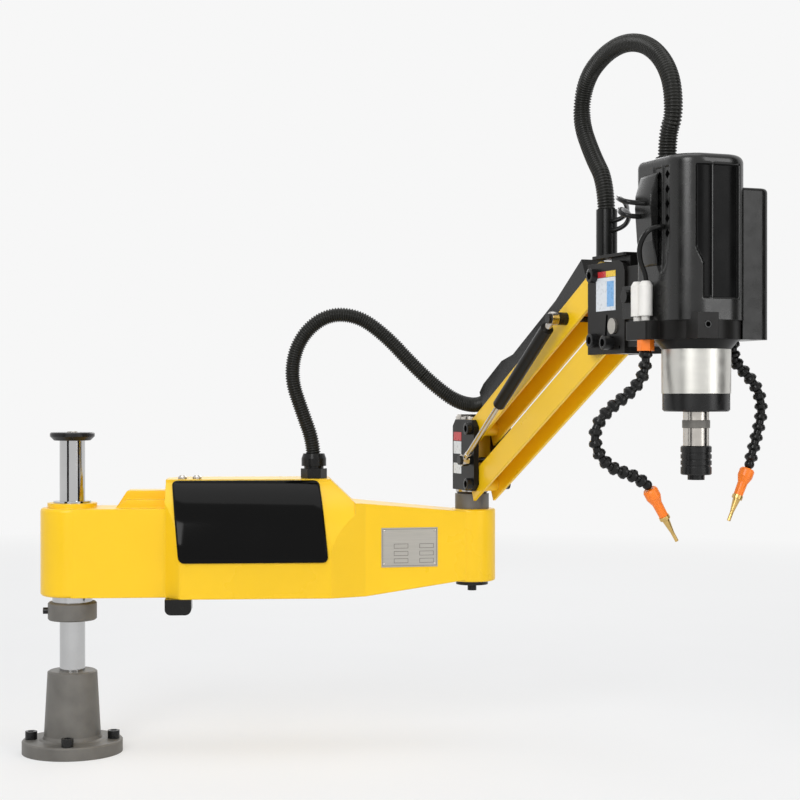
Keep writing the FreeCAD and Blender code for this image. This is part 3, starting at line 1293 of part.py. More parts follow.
def build_spindle():
    bore = s.journal_radius + s.running_gap
    gear_top = -s.cone_height
    gear_low = gear_top - s.gear_height
    ring_low = gear_low - s.bearing_height
    journal_top = ring_low - s.loose_gap + s.journal_length
    part("housing_cone", turned("HousingCone", (
        (nothing, nothing),
        (s.cone_radius, nothing),
        (s.gear_radius, gear_top),
        (nothing, gear_top),
    )), spindle)
    part("gear_housing", turned("GearHousing", (
        (nothing, gear_top),
        (s.gear_radius, gear_top),
        (s.gear_radius, gear_low),
        (bore, gear_low),
        (bore, journal_top + s.loose_gap),
        (nothing, journal_top + s.loose_gap),
    )), spindle)
    part("bearing_ring", turned("BearingRing", (
        (bore, gear_low),
        (s.bearing_radius, gear_low),
        (s.bearing_radius, ring_low + s.flange_edge),
        (s.bearing_radius - s.flange_edge, ring_low),
        (bore, ring_low),
    )), spindle)

    shank_top = ring_low - s.loose_gap
    shank_low = shank_top - s.shank_length
    seat_top = shank_top - s.shank_ring_drop
    seat_low = seat_top - s.shank_ring_height
    part("spindle_shank", turned("SpindleShank", (
        (nothing, journal_top),
        (s.journal_radius, journal_top),
        (s.journal_radius, shank_top),
        (s.shank_radius, shank_top),
        (s.shank_radius, seat_top),
        (s.shank_radius - s.shank_groove, seat_top),
        (s.shank_radius - s.shank_groove, seat_low),
        (s.shank_radius, seat_low),
        (s.shank_radius, shank_low),
        (nothing, shank_low),
    )), spindle)
    part("shank_ring", turned("ShankRing", (
        (s.shank_radius - s.shank_groove, seat_low),
        (s.shank_radius + s.shank_groove, seat_low),
        (s.shank_radius + s.shank_groove, seat_top),
        (s.shank_radius - s.shank_groove, seat_top),
    )), spindle)
    chuck_low = shank_low - s.chuck_height
    profile = [(nothing, shank_low), (s.chuck_radius - s.chuck_groove_depth, shank_low),
               (s.chuck_radius, shank_low - s.chuck_groove_depth)]
    for groove in range(3):
        top = shank_low - s.chuck_groove_pitch * (groove + 1)
        bottom = top - s.chuck_groove_height
        inner = s.chuck_radius - s.chuck_groove_depth
        profile += [(s.chuck_radius, top), (inner, top), (inner, bottom), (s.chuck_radius, bottom)]
    nose_low = chuck_low - s.nose_height
    profile += [
        (s.chuck_radius, chuck_low + s.chuck_groove_depth),
        (s.chuck_radius - s.chuck_groove_depth, chuck_low),
        (s.nose_radius, chuck_low),
        (s.nose_radius, nose_low),
        (s.tap_bore, nose_low),
        (s.tap_bore, nose_low + s.tap_bore_depth),
        (nothing, nose_low + s.tap_bore_depth),
    ]
    part("tap_chuck", turned("TapChuck", profile), spindle)


# Coolant hoses: chains of snap-together links, each with a wide skirt over the neck before it

def turned_solid(points):
    """A small solid of revolution about Z from radii and heights."""
    corners = [FreeCAD.Vector(radius, 0, height) for radius, height in points]
    face = Part.Face(Part.makePolygon(corners + corners[:1]))
    return face.revolve(FreeCAD.Vector(), Z_AXIS, 360)


def seated(shape, place, direction):
    moved = shape.copy()
    moved.Placement = FreeCAD.Placement(place, FreeCAD.Rotation(Z_AXIS, direction))
    return moved


def coolant_hose(side, points, tip):
    """Links along a route, then the connector and the nozzle that point at the tip."""
    edges, tightest = rounded_route(points)
    length = sum(edge.Length for edge in edges)
    count = int(length / s.link_pitch.value)
    pitch = length / count
    joints = [place for place, direction in places_along(edges, [pitch * step for step in range(count + 1)])]
    skirt, neck, ball = s.link_skirt.value, s.link_neck.value, s.link_ball.value
    sunk = pitch + s.link_sunk.value
    link = turned_solid(((0, 0), (skirt * link_rim_share, 0), (skirt, pitch * link_rise_share),
                         (skirt, pitch * link_wide_share), (neck, pitch * link_taper_share), (neck, sunk),
                         (0, sunk)))
    chain = [seated(link, start, (end - start).normalize()) for start, end in zip(joints, joints[1:])]
    chain.append(Part.makeSphere(ball, joints[-1]))
    made("coolant_" + side + "_links", chain[0].multiFuse(chain[1:]), spindle)
    aim = FreeCAD.Vector(*tip) - joints[-1]
    reach = aim.Length
    aim.normalize()
    wide, narrow = s.connector_radius.value, s.nozzle_radius.value
    body = reach * connector_reach_share
    rise, shoulder, waist = [body * share for share in connector_shares]
    upper_neck, lower_neck = [narrow * share for share in connector_neck_shares]
    connector = turned_solid(((0, ball), (wide * connector_rim_share, ball), (wide, rise), (wide, shoulder),
                              (upper_neck, waist), (lower_neck, body), (0, body)))
    bore, point, collar = s.nozzle_bore.value, s.nozzle_tip_radius.value, narrow * nozzle_collar_share
    floor = reach * nozzle_bore_share
    nozzle = turned_solid(((0, body), (collar, body), (collar, body + narrow), (narrow, body + narrow),
                           (point, reach * nozzle_taper_share), (point, reach), (bore, reach), (bore, floor),
                           (0, floor)))
    return seated(connector, joints[-1], aim), seated(nozzle, joints[-1], aim)


def build_coolant():
    part("hose_nut", hexagon("HoseNut", s.nut_radius, s.nut_height,
                             (-s.coupling_back, -s.coupling_side, -s.nut_height)), spindle)
    left = coolant_hose("left", (
        (-15, -59, -13), (-15, -59, -38), (-15, -76, -60), (-15, -104, -78), (-15, -126, -100),
        (-15, -126, -128), (-15, -106, -150), (-15, -76, -158), (-15, -57, -170)), (-15, -17, -237))
    right = coolant_hose("right", (
        (-15, 60, 0), (-15, 60, -24), (-15, 80, -40), (-15, 97, -60), (-15, 101, -86), (-15, 93, -114),
        (-15, 83, -148)), (-15, 54, -215))
    made("coolant_connectors", Part.makeCompound([left[0], right[0]]), spindle)
    made("coolant_nozzles", Part.makeCompound([left[1], right[1]]), spindle)


# Hoses and tubes, each along a route chosen by hand

def build_hoses():
    part("hose_boot", turned("HoseBoot", (
        (nothing, s.top_plate_rise + s.top_plate_thick),
        (s.boot_radius, s.top_plate_rise + s.top_plate_thick),
        (s.boot_radius, s.top_plate_rise + s.top_plate_thick + s.boot_height),
        (s.hose_radius, s.top_plate_rise + s.top_plate_thick + s.boot_height),
        (s.hose_radius, s.top_plate_rise + s.top_plate_thick + s.boot_height - s.boot_socket),
        (nothing, s.top_plate_rise + s.top_plate_thick + s.boot_height - s.boot_socket),
    ), (s.boot_ahead, -s.boot_side, 0)), head)
    made("hose_upper", ribbed_hose("upper hose", (
        (4, -12, 65), (4, -12, 118), (-34, -13, 160), (-68, -13, 212), (-52, -13, 262), (2, -13, 286),
        (62, -13, 290), (122, -13, 272), (166, -13, 232), (174, -13, 182), (160.7, -15, 158),
        (160.7, -15, 126.3)), Y_AXIS), head)
    made("hose_lower", ribbed_hose("lower hose", (
        (364, 15, 429), (364, 15, 462), (346, 15, 512), (328, 15, 566), (340, 15, 622), (380, 14, 660),
        (430, 12, 660), (474, 8, 628), (514, 2, 584), (552, -3, 548), (586, -12, 524), (618.3, -39.8, 521.1),
        (626.2, -65, 534.75)), Y_AXIS))
    first = thin_tube("first air tube", (
        (17.5, -12, 69), (56, -12, 69), (105, -38, 82), (148, -78, 84), (187, -88, 72), (187, -59.5, 72)))
    second = thin_tube("second air tube", (
        (17.5, -12, 57), (50, -12, 57), (100, -30, 70), (136, -68, 72), (172, -82, 58), (172, -59.5, 58)))
    made("air_tubes", Part.makeCompound([first, second]), head)
    made("coupling_tube", thin_tube("coupling tube", (
        (6, -48.5, 131), (6, -65, 131), (-6, -73, 111), (-15, -67, 92), (-15, -59, 76),
        (-15, -59, 69))), spindle)


build_base()
build_column()
build_collar()
build_arm()
build_cover()
build_arm_fittings()
build_knuckle()
build_links()
build_spring()
build_head_frame()
build_motor()
build_spindle()
build_coolant()
build_hoses()
doc.recompute()

os.makedirs("parts", exist_ok=True)
broken = [thing.Label for thing in doc.Objects if "Invalid" in thing.State or "Error" in thing.State]
for thing in parts:
    if thing.Shape.isNull() or not thing.Shape.isValid():
        broken.append(thing.Label)
if broken:
    raise RuntimeError("objects that did not build: " + ", ".join(broken))
for thing in parts:
    solids = thing.Shape.Solids
    shape = solids[0] if len(solids) == 1 else thing.Shape
    shape.exportStep("parts/" + thing.Label + ".step")
print(len(parts), "sub-parts,", sum(len(thing.Shape.Solids) for thing in parts), "solids")
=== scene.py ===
import json
import math

import bmesh
import bpy
from mathutils import Matrix, Vector


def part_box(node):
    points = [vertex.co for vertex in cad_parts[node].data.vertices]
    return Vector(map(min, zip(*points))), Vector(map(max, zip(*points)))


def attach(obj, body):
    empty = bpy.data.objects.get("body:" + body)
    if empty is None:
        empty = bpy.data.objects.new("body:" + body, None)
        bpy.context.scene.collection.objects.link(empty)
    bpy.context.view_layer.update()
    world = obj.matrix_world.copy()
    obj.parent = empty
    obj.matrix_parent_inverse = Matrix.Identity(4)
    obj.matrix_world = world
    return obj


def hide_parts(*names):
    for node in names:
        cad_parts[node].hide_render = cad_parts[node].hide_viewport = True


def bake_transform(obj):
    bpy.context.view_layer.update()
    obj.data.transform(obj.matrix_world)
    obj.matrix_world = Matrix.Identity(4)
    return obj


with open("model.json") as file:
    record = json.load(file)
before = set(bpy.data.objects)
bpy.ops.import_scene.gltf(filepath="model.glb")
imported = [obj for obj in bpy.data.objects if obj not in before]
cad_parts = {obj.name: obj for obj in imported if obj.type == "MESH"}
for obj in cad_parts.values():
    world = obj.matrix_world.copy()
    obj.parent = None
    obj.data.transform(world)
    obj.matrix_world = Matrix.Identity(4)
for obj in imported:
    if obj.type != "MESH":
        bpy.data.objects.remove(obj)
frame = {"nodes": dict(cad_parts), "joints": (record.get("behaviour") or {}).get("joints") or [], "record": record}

# Arm tapping machine, dressed around its CAD frame. Metres; sizes of small details in millimetres times MM.

MM = 0.001
FULL_TURN = 2 * math.pi
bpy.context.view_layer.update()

# Frames of the knuckle, the head and the spindle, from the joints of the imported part. X is ahead, Y across.
joints = {joint["name"]: joint for joint in frame["joints"]}


def joint_place(name):
    return Vector(joints[name]["pos_m"])


ACROSS = -Vector(joints["lift"]["axis"]).normalized()
AHEAD = ACROSS.cross(Vector((0, 0, 1))).normalized()
TURN = Matrix((AHEAD, ACROSS, (0, 0, 1))).transposed().to_4x4()
elbow_place = joint_place("elbow_swing")
upper_pin = joint_place("upper_link_turn")
head_pin = upper_pin + joint_place("head_level") - joint_place("lift")
spindle_place = joint_place("spindle_spin")
spindle_base = Vector((spindle_place.x, spindle_place.y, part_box("clamp_ring")[0].z))
KNUCKLE = Matrix.Translation((elbow_place.x, elbow_place.y, 0)) @ TURN
HEAD = Matrix.Translation(head_pin) @ TURN
SPINDLE = Matrix.Translation(spindle_base) @ TURN
MODEL = Matrix.Identity(4)


# Materials: each is a principled shader with colour variation, roughness variation, bump and worn edges

class Nodes:
    """Adds and links the nodes of one material."""

    def __init__(self, name):
        self.material = bpy.data.materials.new(name)
        self.material.use_nodes = True
        self.tree = self.material.node_tree
        self.tree.nodes.clear()
        self.coords = self.add("ShaderNodeTexCoord").outputs["Object"]

    def add(self, kind, **values):
        node = self.tree.nodes.new(kind)
        for key, value in values.items():
            setattr(node, key, value)
        return node

    def join(self, source, target):
        self.tree.links.new(source, target)

    def noise(self, scale, detail=3.0, stretch=(1, 1, 1)):
        mapping = self.add("ShaderNodeMapping")
        mapping.inputs["Scale"].default_value = stretch
        self.join(self.coords, mapping.inputs["Vector"])
        noise = self.add("ShaderNodeTexNoise")
        noise.inputs["Scale"].default_value = scale
        noise.inputs["Detail"].default_value = detail
        self.join(mapping.outputs["Vector"], noise.inputs["Vector"])
        return noise.outputs["Fac"]

    def spread(self, source, low, high, start=0.3, end=0.7):
        """Maps a noise onto a range."""
        node = self.add("ShaderNodeMapRange")
        for key, value in (("From Min", start), ("From Max", end), ("To Min", low), ("To Max", high)):
            node.inputs[key].default_value = value
        self.join(source, node.inputs["Value"])
        return node.outputs["Result"]

    def mix(self, factor, first, second):
        node = self.add("ShaderNodeMix", data_type="RGBA")
        self.join(factor, node.inputs["Factor"])
        for socket, value in ((node.inputs["A"], first), (node.inputs["B"], second)):
            if isinstance(value, bpy.types.NodeSocket):
                self.join(value, socket)
            else:
                socket.default_value = (*value, 1)
        return node.outputs["Result"]

    def multiply(self, first, second):
        node = self.add("ShaderNodeMath", operation="MULTIPLY")
        self.join(first, node.inputs[0])
        self.join(second, node.inputs[1])
        return node.outputs["Value"]


WEAR_FROM, WEAR_TO = 0.75, 0.985
PATCH_SCALE = 160.0
BUMP_STRENGTH = 0.6
BEVEL_SAMPLES = 4


def shade(colour, share):
    return tuple(min(1.0, value * share) for value in colour)


def finish(name, colour, rough, metallic=0.0, vary=0.08, rough_vary=0.06, blotch=14.0, grain=700.0,
           grain_height=0.02, stretch=(1, 1, 1), edge=0.8, worn=None, wear=0.5, shine=0.5):
    """One finished surface. The grain's height is in millimetres, and so is the radius of eased edges."""
    nodes = Nodes(name)
    blotches = nodes.noise(blotch, 4.0, stretch)
    fine = nodes.noise(grain, 2.0, stretch)
    base = nodes.mix(nodes.spread(blotches, 0.0, 1.0), shade(colour, 1 - vary), shade(colour, 1 + vary))
    bevel = nodes.add("ShaderNodeBevel", samples=BEVEL_SAMPLES)
    bevel.inputs["Radius"].default_value = edge * MM
    if worn:
        geometry = nodes.add("ShaderNodeNewGeometry")
        dot = nodes.add("ShaderNodeVectorMath", operation="DOT_PRODUCT")
        nodes.join(bevel.outputs["Normal"], dot.inputs[0])
        nodes.join(geometry.outputs["Normal"], dot.inputs[1])
        rim = nodes.spread(dot.outputs["Value"], wear, 0.0, WEAR_FROM, WEAR_TO)
        patches = nodes.spread(nodes.noise(PATCH_SCALE), 0.0, 1.0, 0.42, 0.6)
        base = nodes.mix(nodes.multiply(rim, patches), base, worn)
    shader = nodes.add("ShaderNodeBsdfPrincipled")
    nodes.join(base, shader.inputs["Base Color"])
    nodes.join(nodes.spread(blotches, rough - rough_vary, rough + rough_vary), shader.inputs["Roughness"])
    shader.inputs["Metallic"].default_value = metallic
    shader.inputs["Specular IOR Level"].default_value = shine
    bump = nodes.add("ShaderNodeBump")
    bump.inputs["Strength"].default_value = BUMP_STRENGTH
    bump.inputs["Distance"].default_value = grain_height * MM
    nodes.join(fine, bump.inputs["Height"])
    nodes.join(bevel.outputs["Normal"], bump.inputs["Normal"])
    nodes.join(bump.outputs["Normal"], shader.inputs["Normal"])
    output = nodes.add("ShaderNodeOutputMaterial")
    nodes.join(shader.outputs["BSDF"], output.inputs["Surface"])
    return nodes.material


MATERIALS = {
    "yellow_paint": finish("yellow_paint", (0.95, 0.585, 0.008), 0.3, vary=0.03, rough_vary=0.05, blotch=9.0,
                           grain=420.0, grain_height=0.09, edge=2.4, worn=(0.98, 0.78, 0.2), wear=0.35,
                           shine=0.4),
    "grey_casting": finish("grey_casting", (0.15, 0.142, 0.128), 0.5, metallic=0.25, vary=0.16, blotch=30.0,
                           grain=520.0, grain_height=0.16, edge=1.2, worn=(0.3, 0.28, 0.25), wear=0.7),
    "ground_steel": finish("ground_steel", (0.5, 0.5, 0.5), 0.1, metallic=1.0, vary=0.05, rough_vary=0.03,
                           blotch=20.0, grain=500.0, grain_height=0.002, edge=0.5),
    "bright_steel": finish("bright_steel", (0.55, 0.52, 0.48), 0.2, metallic=1.0, vary=0.08, blotch=60.0,
                           grain_height=0.006, edge=0.6),
    "black_steel": finish("black_steel", (0.009, 0.009, 0.009), 0.28, vary=0.2, blotch=60.0,
                          grain_height=0.02, edge=0.6, worn=(0.08, 0.08, 0.08), wear=0.6, shine=0.3),
    "black_paint": finish("black_paint", (0.007, 0.0065, 0.006), 0.34, vary=0.12, blotch=25.0, grain=900.0,
                          grain_height=0.05, edge=0.9, worn=(0.04, 0.038, 0.035), wear=0.6, shine=0.17),
    "cover_satin": finish("cover_satin", (0.008, 0.008, 0.0075), 0.26, vary=0.12, rough_vary=0.05,
                          blotch=40.0, grain=1400.0, grain_height=0.05, edge=0.8, worn=(0.05, 0.047, 0.043),
                          wear=0.5, shine=0.45),
    # Darker and duller than the cover's satin, for the sunk front of the motor cover: painted shade in the recess.
    "cover_recess_painted_shade": finish("cover_recess_painted_shade", (0.004, 0.004, 0.004), 0.3, vary=0.12, blotch=40.0, grain=1400.0,
                           grain_height=0.04, edge=0.8, worn=(0.05, 0.047, 0.043), wear=0.6, shine=0.06),
    "black_gloss": finish("black_gloss", (0.002, 0.002, 0.002), 0.1, vary=0.1, rough_vary=0.02, blotch=12.0,
                          grain=260.0, grain_height=0.004, edge=1.6, shine=0.1),
    "black_plastic": finish("black_plastic", (0.008, 0.008, 0.0075), 0.24, vary=0.15, blotch=70.0,
                            grain_height=0.02, edge=0.7, worn=(0.03, 0.03, 0.03), wear=0.5, shine=0.22),
    "black_hose": finish("black_hose", (0.012, 0.012, 0.01), 0.34, vary=0.18, blotch=45.0, grain=600.0,
                         grain_height=0.03, edge=0.5, shine=0.25),
    "plate_metal": finish("plate_metal", (0.46, 0.44, 0.4), 0.36, metallic=0.9, vary=0.05, blotch=30.0,
                          grain=300.0, grain_height=0.008, stretch=(1, 1, 25), edge=0.3),
    "silver_metal": finish("silver_metal", (0.62, 0.61, 0.57), 0.36, metallic=0.85, vary=0.04, blotch=16.0,
                           grain=500.0, grain_height=0.008, stretch=(1, 1, 5), edge=0.8),
    "white_plastic": finish("white_plastic", (0.8, 0.78, 0.74), 0.36, vary=0.04, blotch=50.0,
                            grain_height=0.02, edge=0.8),
    "orange_plastic": finish("orange_plastic", (0.9, 0.2, 0.01), 0.36, vary=0.06, blotch=60.0,
                             grain_height=0.03, edge=0.8),
    "brass": finish("brass", (0.62, 0.42, 0.15), 0.3, metallic=1.0, vary=0.12, blotch=90.0, grain_height=0.02,
                    edge=0.5, worn=(0.85, 0.68, 0.35), wear=0.5),
    "engraved": finish("engraved", (0.2, 0.19, 0.175), 0.5, metallic=0.6, vary=0.1, blotch=200.0,
                       grain_height=0.006, edge=0.1),
    # Flat black without gloss: painted shade for the vents, screw sockets, the plate's slot and hole, and the
    # sheets of the flags, which make painted reflection.
    "shadow_gap": finish("shadow_gap", (0.002, 0.002, 0.002), 0.7, vary=0.2, blotch=80.0, edge=0.2,
                         shine=0.0),
}
FIELD_COLOURS = {
    "field_white": (0.72, 0.76, 0.8),
    "field_blue": (0.18, 0.42, 0.75),
    "field_red": (0.55, 0.03, 0.035),
    "field_yellow": (0.85, 0.55, 0.03),
}
for field, colour in FIELD_COLOURS.items():
    MATERIALS[field] = finish(field, colour, 0.3, vary=0.05, blotch=200.0, grain_height=0.006, edge=0.1)

for subpart in frame["record"]["subparts"]:
    node = frame["nodes"].get(subpart["node"])
    if node:
        for material_slot in node.material_slots:
            material_slot.material = MATERIALS[subpart["material_slot"]]


# Mesh helpers

def piece(name, mesh, material, body, at=MODEL, crease=32, replaces=()):
    """A finished object from a bmesh built in a frame."""
    bmesh.ops.recalc_face_normals(mesh, faces=mesh.faces)
    data = bpy.data.meshes.new(name)
    mesh.transform(at)
    mesh.to_mesh(data)
    mesh.free()
    for polygon in data.polygons:
        polygon.use_smooth = True
    data.set_sharp_from_angle(angle=math.radians(crease))
    thing = bpy.data.objects.new(name, data)
    bpy.context.scene.collection.objects.link(thing)
    data.materials.append(MATERIALS[material])
    if body:
        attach(thing, body)
    if replaces:
        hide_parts(*replaces)
    return thing


def ring_of(radius, count):
    """Points evenly round a circle."""
    angles = [FULL_TURN * step / count for step in range(count)]
    return [(radius * math.cos(angle), radius * math.sin(angle)) for angle in angles]


def arc(centre, radius, start, steps, sweep=90):
    """Points along an arc, each with its outward normal. Angles are in degrees."""
    found = []
    for step in range(steps + 1):
        angle = math.radians(start + sweep * step / steps)
        normal = Vector((math.cos(angle), math.sin(angle)))
        found.append((centre + normal * radius, normal))
    return found


def bridge(mesh, rings):
    """Adds the faces between neighbouring closed rings of one count."""
    for first, second in zip(rings, rings[1:]):
        for index in range(len(first)):
            after = (index + 1) % len(first)
            mesh.faces.new((first[index], first[after], second[after], second[index]))


def close_at(mesh, ring, top):
    """Adds the fan of faces from a ring to one vertex."""
    for index in range(len(ring)):
        mesh.faces.new((ring[index], ring[(index + 1) % len(ring)], top))


def turned(mesh, profile, place, count):
    """Adds a surface of revolution about Z from millimetre radii and heights. The last radius may be 0."""
    rings = []
    for radius, height in profile:
        if radius:
            rings.append([mesh.verts.new(place @ (Vector((x, y, height)) * MM))
                          for x, y in ring_of(radius, count)])
        else:
            close_at(mesh, rings[-1], mesh.verts.new(place @ Vector((0, 0, height * MM))))
    bridge(mesh, rings)


def slab(mesh, outline, low, high, place=MODEL, ease=0.0):
    """Adds a prism: an outline in millimetres in XZ, from low to high along Y, with eased edges."""
    made = bmesh.new()
    front = [made.verts.new(Vector((x, low, z)) * MM) for x, z in outline]
    back = [made.verts.new(Vector((x, high, z)) * MM) for x, z in outline]
    made.faces.new(front)
    made.faces.new(back[::-1])
    for index in range(len(outline)):
        after = (index + 1) % len(outline)
        made.faces.new((front[index], back[index], back[after], front[after]))
    if ease:
        bmesh.ops.bevel(made, geom=made.edges[:], offset=ease * MM, segments=2, affect="EDGES", profile=0.5)
    made.transform(place)
    copy = bpy.data.meshes.new("slab")
    made.to_mesh(copy)
    made.free()
    mesh.from_mesh(copy)
    bpy.data.meshes.remove(copy)


def rectangle(low_x, low_z, high_x, high_z):
    return ((low_x, low_z), (high_x, low_z), (high_x, high_z), (low_x, high_z))


def at_point(frame_matrix, x, y, z):
    return frame_matrix @ Matrix.Translation(Vector((x, y, z)) * MM)


# Camera at the photograph's viewing angle

PHOTO_SIZE = 800
FOCAL_PIXELS = 1700
SENSOR = 36
CAMERA_PLACE = (0.3140, -2.5910, 0.5373)
SIGHT_TURN = math.radians(4)
HORIZON_PIXELS = 5
camera_data = bpy.data.cameras.new("camera")
camera_data.sensor_width = SENSOR
camera_data.lens = FOCAL_PIXELS / PHOTO_SIZE * SENSOR
camera_data.dof.use_dof = False
camera = bpy.data.objects.new("camera", camera_data)
bpy.context.scene.collection.objects.link(camera)
camera.location = CAMERA_PLACE
sight = Vector((math.sin(SIGHT_TURN), math.cos(SIGHT_TURN), -HORIZON_PIXELS / FOCAL_PIXELS))
camera.rotation_mode = "QUATERNION"
camera.rotation_quaternion = sight.to_track_quat("-Z", "Y")
bpy.context.scene.camera = camera


# Cords: routes repeated from the part, in metres, each a NURBS spline through its control points

def spline_points(name, points, resolution=24):
    """The points of a route's NURBS spline, read from a curve with no bevel."""
    data = bpy.data.curves.new(name, "CURVE")
    data.dimensions = "3D"
    data.resolution_u = resolution
    spline = data.splines.new("NURBS")
    spline.points.add(len(points) - 1)
    for target, point in zip(spline.points, points):
        target.co = (*point, 1)
    spline.order_u = 3
    spline.use_endpoint_u = True
    holder = bpy.data.objects.new(name, data)
    bpy.context.scene.collection.objects.link(holder)
    line = bpy.data.meshes.new_from_object(holder)
    found = [vertex.co.copy() for vertex in line.vertices]
    bpy.data.objects.remove(holder)
    bpy.data.meshes.remove(line)
    return found


def lengths_of(points):
    total = [0.0]
    for first, second in zip(points, points[1:]):
        total.append(total[-1] + (second - first).length)
    return total


def at_length(points, totals, distance):
    """The point and direction at a distance along a row of points."""
    index = 0
    while index < len(totals) - 2 and totals[index + 1] < distance:
        index += 1
    span = totals[index + 1] - totals[index]
    share = 0 if span == 0 else (distance - totals[index]) / span
    first, second = points[index], points[index + 1]
    return first.lerp(second, share), (second - first).normalized()


def sleeve(mesh, points, rows, count=20):
    """Adds a tube through rows of (distance, radius) along points, with a steady frame and closed ends."""
    totals = lengths_of(points)
    across = at_length(points, totals, rows[0][0])[1].orthogonal()
    rings = []
    for distance, radius in rows:
        centre, direction = at_length(points, totals, distance)
        across = (across - direction * across.dot(direction)).normalized()
        up = direction.cross(across)
        rings.append([mesh.verts.new(centre + across * x + up * y) for x, y in ring_of(radius, count)])
    mesh.faces.new(rings[0][::-1])
    bridge(mesh, rings)
    mesh.faces.new(rings[-1])


HOSE_RADIUS = 11.4 * MM
HOSE_VALLEY = 9.7 * MM
RIB_PITCH = 3.8 * MM
HOSE_END_DIAMETERS = 6.1
# A rib's profile: shares of the pitch and of the rise from valley to crest
RIB_SHARES = ((0.0, 0.0), (0.18, 0.1), (0.32, 0.85), (0.46, 1.0), (0.6, 1.0), (0.74, 0.85), (0.88, 0.1))


def ribbed(mesh, points, start, end):
    """A corrugated hose between two distances along a route."""
    ribs = round((end - start) / RIB_PITCH)
    pitch = (end - start) / ribs
    rows = [(start + (rib + share) * pitch, HOSE_VALLEY + (HOSE_RADIUS - HOSE_VALLEY) * rise)
            for rib in range(ribs) for share, rise in RIB_SHARES]
    sleeve(mesh, points, rows + [(end, HOSE_VALLEY)])


LOWER_ROUTE = (
    (0.364, 0.015, 0.429), (0.364, 0.015, 0.462), (0.346, 0.015, 0.512), (0.328, 0.015, 0.566),
    (0.340, 0.015, 0.622), (0.380, 0.014, 0.660), (0.430, 0.012, 0.660), (0.474, 0.008, 0.628),
    (0.514, 0.002, 0.584), (0.552, -0.003, 0.548), (0.586, -0.012, 0.524), (0.6183, -0.0398, 0.5211),
    (0.6262, -0.065, 0.53475),
)
UPPER_ROUTE = (
    (0.004, -0.012, 0.065), (0.004, -0.012, 0.118), (-0.034, -0.013, 0.160), (-0.068, -0.013, 0.212),
    (-0.052, -0.013, 0.262), (0.002, -0.013, 0.286), (0.062, -0.013, 0.290), (0.122, -0.013, 0.272),
    (0.166, -0.013, 0.232), (0.174, -0.013, 0.182), (0.1607, -0.015, 0.158), (0.1607, -0.015, 0.1263),
)
AIR_ROUTES = (
    ((0.0175, -0.012, 0.069), (0.056, -0.012, 0.069), (0.105, -0.038, 0.082), (0.148, -0.078, 0.084),
     (0.187, -0.088, 0.072), (0.187, -0.0595, 0.072)),
    ((0.0175, -0.012, 0.057), (0.050, -0.012, 0.057), (0.100, -0.030, 0.070), (0.136, -0.068, 0.072),
     (0.172, -0.082, 0.058), (0.172, -0.0595, 0.058)),
)
COUPLING_ROUTE = ((0.006, -0.0485, 0.131), (0.006, -0.065, 0.131), (-0.006, -0.073, 0.111),
                  (-0.015, -0.067, 0.092), (-0.015, -0.059, 0.076), (-0.015, -0.059, 0.069))
AIR_TUBE_RADIUS = 3 * MM
TUBE_STEPS, TUBE_SIDES = 40, 16
CORD_CREASE = 80


def placed(route, at):
    return [at @ Vector(point) for point in route]


def build_lower_hose():
    """The hose from gland to duct, in two lengths; the second is the route's last few diameters."""
    points = spline_points("hose_line", placed(LOWER_ROUTE, MODEL))
    totals = lengths_of(points)
    total = totals[-1]
    joint = total - HOSE_END_DIAMETERS * 2 * HOSE_RADIUS
    middle = at_length(points, totals, joint)[0]
    for name, start, end in (("hose_lower_main", 0.0, joint), ("hose_lower_end", joint, total)):
        mesh = bmesh.new()
        ribbed(mesh, points, start, end)
        hose = piece(name, mesh, "black_hose", None, crease=CORD_CREASE, replaces=("hose_lower",))
        path = [point for point, run in zip(points, totals) if start <= run <= end]
        if start > 0:
            path.insert(0, middle)
            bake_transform(hose)
        else:
            path.append(middle)
            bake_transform(hose)


def build_upper_hose():
    points = spline_points("hose_line", placed(UPPER_ROUTE, HEAD))
    total = lengths_of(points)[-1]
    mesh = bmesh.new()
    ribbed(mesh, points, 0.0, total)
    hose = piece("hose_upper_ribbed", mesh, "black_hose", "head", crease=CORD_CREASE,
                 replaces=("hose_upper",))


def build_thin_tubes():
    tubes = [("air_tube_" + str(number), route, HEAD, "air_tubes")
             for number, route in enumerate(AIR_ROUTES)]
    tubes.append(("coupling_tube_bent", COUPLING_ROUTE, SPINDLE, "coupling_tube"))
    for name, route, at, node in tubes:
        points = spline_points(name, placed(route, at))
        total = lengths_of(points)[-1]
        mesh = bmesh.new()
        sleeve(mesh, points, [(total * step / TUBE_STEPS, AIR_TUBE_RADIUS) for step in range(TUBE_STEPS + 1)],
               TUBE_SIDES)
        tube = piece(name, mesh, "black_plastic", "head", crease=CORD_CREASE, replaces=(node,))


build_lower_hose()
build_upper_hose()
build_thin_tubes()


# Motor cover: a smooth housing whose raised front panel widens below, with a sunk side and front.
# Places are millimetres in the spindle's frame.

COVER_BACK, COVER_FRONT, COVER_HALF = -61, 49, 48.5
COVER_LOW, COVER_TOP = 22, 214
COVER_BACK_ROUND, COVER_FRONT_ROUND, COVER_TOP_ROUND = 12, 34, 9
PLAN_STEP, ROW_STEP, ROUND_STEPS, LEAST_CORNER_STEPS = 1.5, 1.6, 8, 6
SUNK_DEPTH, SUNK_TOP = 3.2, 202
EASE, RIB_EASE = 2.2, 1.2

# The sunk side: a tongue that narrows downwards, with a rib up its middle
SIDE_END, SIDE_SHARE = 12, 0.6
TONGUE_LOW, TONGUE_STRAIGHT = 78, 112
TONGUE_BACK, TONGUE_FRONT, TONGUE_RIB = -16, 21, 4.6

